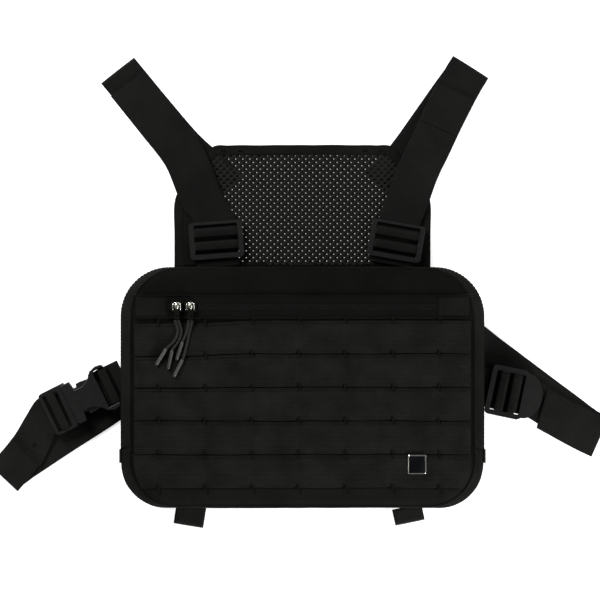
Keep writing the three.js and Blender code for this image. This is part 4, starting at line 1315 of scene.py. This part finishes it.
buckle = {"x": -210.3, "y": -24.4, "turn": 26.2, "maleBar": 7.1, "femaleBar": 54.5, "webZ": 5.3}
beltZ = padHigh.z + halfLayer
floorWebZ = halfLayer
secondWebZ = floorWebZ + layerStep
belt = {
    "leftFold": {"x": -249.3, "y": -77.6, "heading": -131, "across": 137},
    "rightFold": {"x": 249.2, "y": -40.9, "heading": -24, "across": 66},
    "leftFront": [(-219.6, -36, 128), (-229.6, -53.5, 134)],
    "leftTailEnd": (-230.4, -56.6, 134),
    "leftBack": [(-210, -48, floorWebZ, 126), (-173, -24.2, floorWebZ, 125), (-158, -14, floorWebZ, 125),
                 (-152, -9.7, floorWebZ, 125), (-139, -0.6, beltZ, 124), (-132, 4.2, beltZ, 123),
                 (-80, 34, beltZ, 112), (-8, 61.5, beltZ, 92)],
    "rightBack": [(-4, 62.3, beltZ, 91.5), (68, 66, beltZ, 70), (131, 45, beltZ, 54), (139, 39, beltZ, 52.5),
                  (152, 29, floorWebZ, 52.5), (158, 24.4, floorWebZ, 52.5), (186, 3.3, floorWebZ, 52.5),
                  (220, -22, floorWebZ, 56)],
}


def turnedToX(keys):
    return [(y, 0, z, 90) for _, y, z, _ in keys]


def makeBelt():
    spot = (buckle["x"], buckle["y"], buckle["webZ"] + bar["loadDrop"])
    turn = buckle["turn"]
    wrap = placed(reversed(turnedToX(wrapKeys(buckle["maleBar"], -1, 9.6, 12))), spot, turn)
    topZ = secondWebZ + layerStep
    x, y, angle = belt["leftTailEnd"]
    tail = [(x, y, topZ, angle), *[(fx, fy, topZ + 0.1, fa) for fx, fy, fa in belt["leftFront"][:1]]]
    front = [(fx, fy, secondWebZ, fa) for fx, fy, fa in belt["leftFront"]]
    keys = [*tail, *wrap, *front, *foldKeys(belt["leftFold"], secondWebZ, floorWebZ, 6), *belt["leftBack"]]
    webbingPiece(
        "beltLeft", keys, beltWide, beltWeb, seed=41, across=("bag", "male", (-140, -2, 0), (-190, -30, 0)),
        slot="webbing", replaces=["belt_left", "belt_back"],
    )
    hemWay, back = towards(angle), towards(angle - 90)
    for reach in (1.6, 4.0):
        middle = Vector((x, y, topZ + 0.7)) + back * reach
        addStitches(stitches["male"], spaced([middle - hemWay * 14.5, middle + hemWay * 14.5], 8), 2.9, 2.1, 0.26)
    tack = Vector((x, y, topZ + 0.75)) + back * 9
    addTack(stitches["male"], tack.x, tack.y, tack.z, 4.0, angle)

    anchorReach = (-bag["halfWidth"] - 0.9 - spot[0]) / math.cos(math.radians(turn))
    anchorReach -= beltWide / 2 * math.tan(math.radians(turn)) + buckle["femaleBar"]
    anchor = placed(turnedToX(wrapKeys(buckle["femaleBar"], 1, anchorReach, anchorReach)), spot, turn)
    webbingPiece(
        "buckleAnchor", anchor, beltWide, beltWeb, seed=43, body="bag", slot="webbing", replaces=["buckle_anchor"],
    )
    for node, name, body, edge in (
        ("buckle_male", "buckleMale", "male", 0.6), ("buckle_female", "buckleFemale", "bag", 0.9),
        ("prong_upper", "prongUpper", "prong_upper", 0.6), ("prong_lower", "prongLower", "prong_lower", 0.6),
    ):
        roundedCopy(node, name, acetal, body, edge, "buckle_plastic")

    # dark flaps of webbing under the buckle's open bars: painted shade, a dark sheet where the slots show only
    # shade
    for name, body, start, end, wide in (
        ("maleSlotShade", "male", -0.5, 21.0, 38), ("femaleSlotShade", "bag", 42.0, 66.0, 32),
    ):
        flat = [(start + (end - start) * k / 3, 0, -6.1, 90) for k in range(4)]
        webbingPiece(name, placed(flat, spot, turn), wide, loopWeb, 4, seed=45, body=body, slot="webbing")

    # right side: out from the sleeve, over the fold, round the tensioner's bar and back on itself
    tensioner = {"x": 170.6, "y": -5.8, "turn": -102}
    place = (tensioner["x"], tensioner["y"], secondWebZ + bar["loadDrop"])
    wrapRight = placed(wrapKeys(lock["strapBarY"], 1, lock["reach"], lock["reach"] + 2), place, tensioner["turn"])
    wrapRight = [(kx, ky, kz, ka + 180) for kx, ky, kz, ka in wrapRight]
    rightFold = foldKeys(belt["rightFold"], floorWebZ, secondWebZ, 8)
    tailRight = [(215, -25.5, secondWebZ + layerStep, 72), (237, -37.2, secondWebZ + layerStep, 67)]
    keysRight = [*belt["rightBack"], *rightFold, (215, -25, secondWebZ, 72), *wrapRight, *tailRight]
    webbingPiece(
        "beltRight", keysRight, beltWide, beltWeb, seed=47,
        across=("bag", "tensioner", (232, -28, 0), (186, -10, 0)), slot="webbing", replaces=["belt_tensioner_wrap"],
    )
    keeperZ = secondWebZ + 3.2
    keeper = [(200, -19.5, keeperZ, 74), (210, -24.8, keeperZ, 72), (224, -32.5, keeperZ, 69),
              (236, -38.6, keeperZ, 67), (248.2, -44.4, keeperZ - 0.3, 66)]
    webbingPiece("beltTailRight", keeper, beltWide + 2, beltWeb, seed=53, body="bag", slot="webbing")
    lean = math.radians(tensioner["turn"] + 90)
    seam = (tensioner["x"] - bag["halfWidth"] - gap) / math.cos(lean) - beltWide / 2 * math.tan(abs(lean)) - gap
    seam += lock["anchorBarY"]
    anchorRight = placed(wrapKeys(lock["anchorBarY"], -1, seam, seam), place, tensioner["turn"])
    webbingPiece(
        "tensionerAnchor", anchorRight, beltWide, beltWeb, seed=59, body="tensioner", slot="webbing",
        replaces=["belt_tensioner_anchor"],
    )
    roundedCopy("belt_tensioner", "beltTensioner", acetal, "tensioner", 0.75, "buckle_plastic")

    # dark flap of webbing behind the tensioner's slots: painted shade for the gaps between its bars
    slotShadeFlap = placed(lockBackingAndShade, place, tensioner["turn"])
    webbingPiece("tensionerSlotShade", slotShadeFlap, 41, loopWeb, 4, seed=57, body="tensioner", slot="webbing")


loops = {
    "rise": 4.0, "seamGap": 1.4,
    "places": [("left", -92.6, 9, 16), ("right", 86.8, -12, 13)],  # side, x, turn, length
}


def makeLoops():
    for side, x, turn, long in loops["places"]:
        angle = math.radians(turn)
        bottom = bag["back"] + gap
        top = bottom + loops["rise"]
        seamY = -bag["halfHeight"] - gap - loopWide / 2 * abs(math.sin(angle)) - loops["seamGap"]
        fold = {
            "x": x - long * math.sin(angle), "y": seamY - long * math.cos(angle),
            "heading": 270 - turn, "across": -turn,
        }
        keys = [(x, seamY, top, -turn), *foldKeys(fold, top, bottom, 4), (x, seamY, bottom, -turn)]
        webbingPiece(
            f"bottomLoop_{side}", keys, loopWide, loopWeb, seed=61, body=f"loop_{side}", slot="webbing",
            replaces=[f"bottom_loop_{side}"],
        )


makeStage()
makeCords()
print("cords laid")
makeSliders()
makeFrontPanel()
makeShell()
makeBack()
print("bag shell sewn")
makeLadder()
makePocketZip()
makeBadge()
print("front finished")
makeBib()
makeShoulders()
print("bib and shoulders finished")
makeBelt()
makeLoops()
for body, bm in stitches.items():
    finishPiece(f"stitches_{body}", bm, thread, body)
print("stitches sewn")
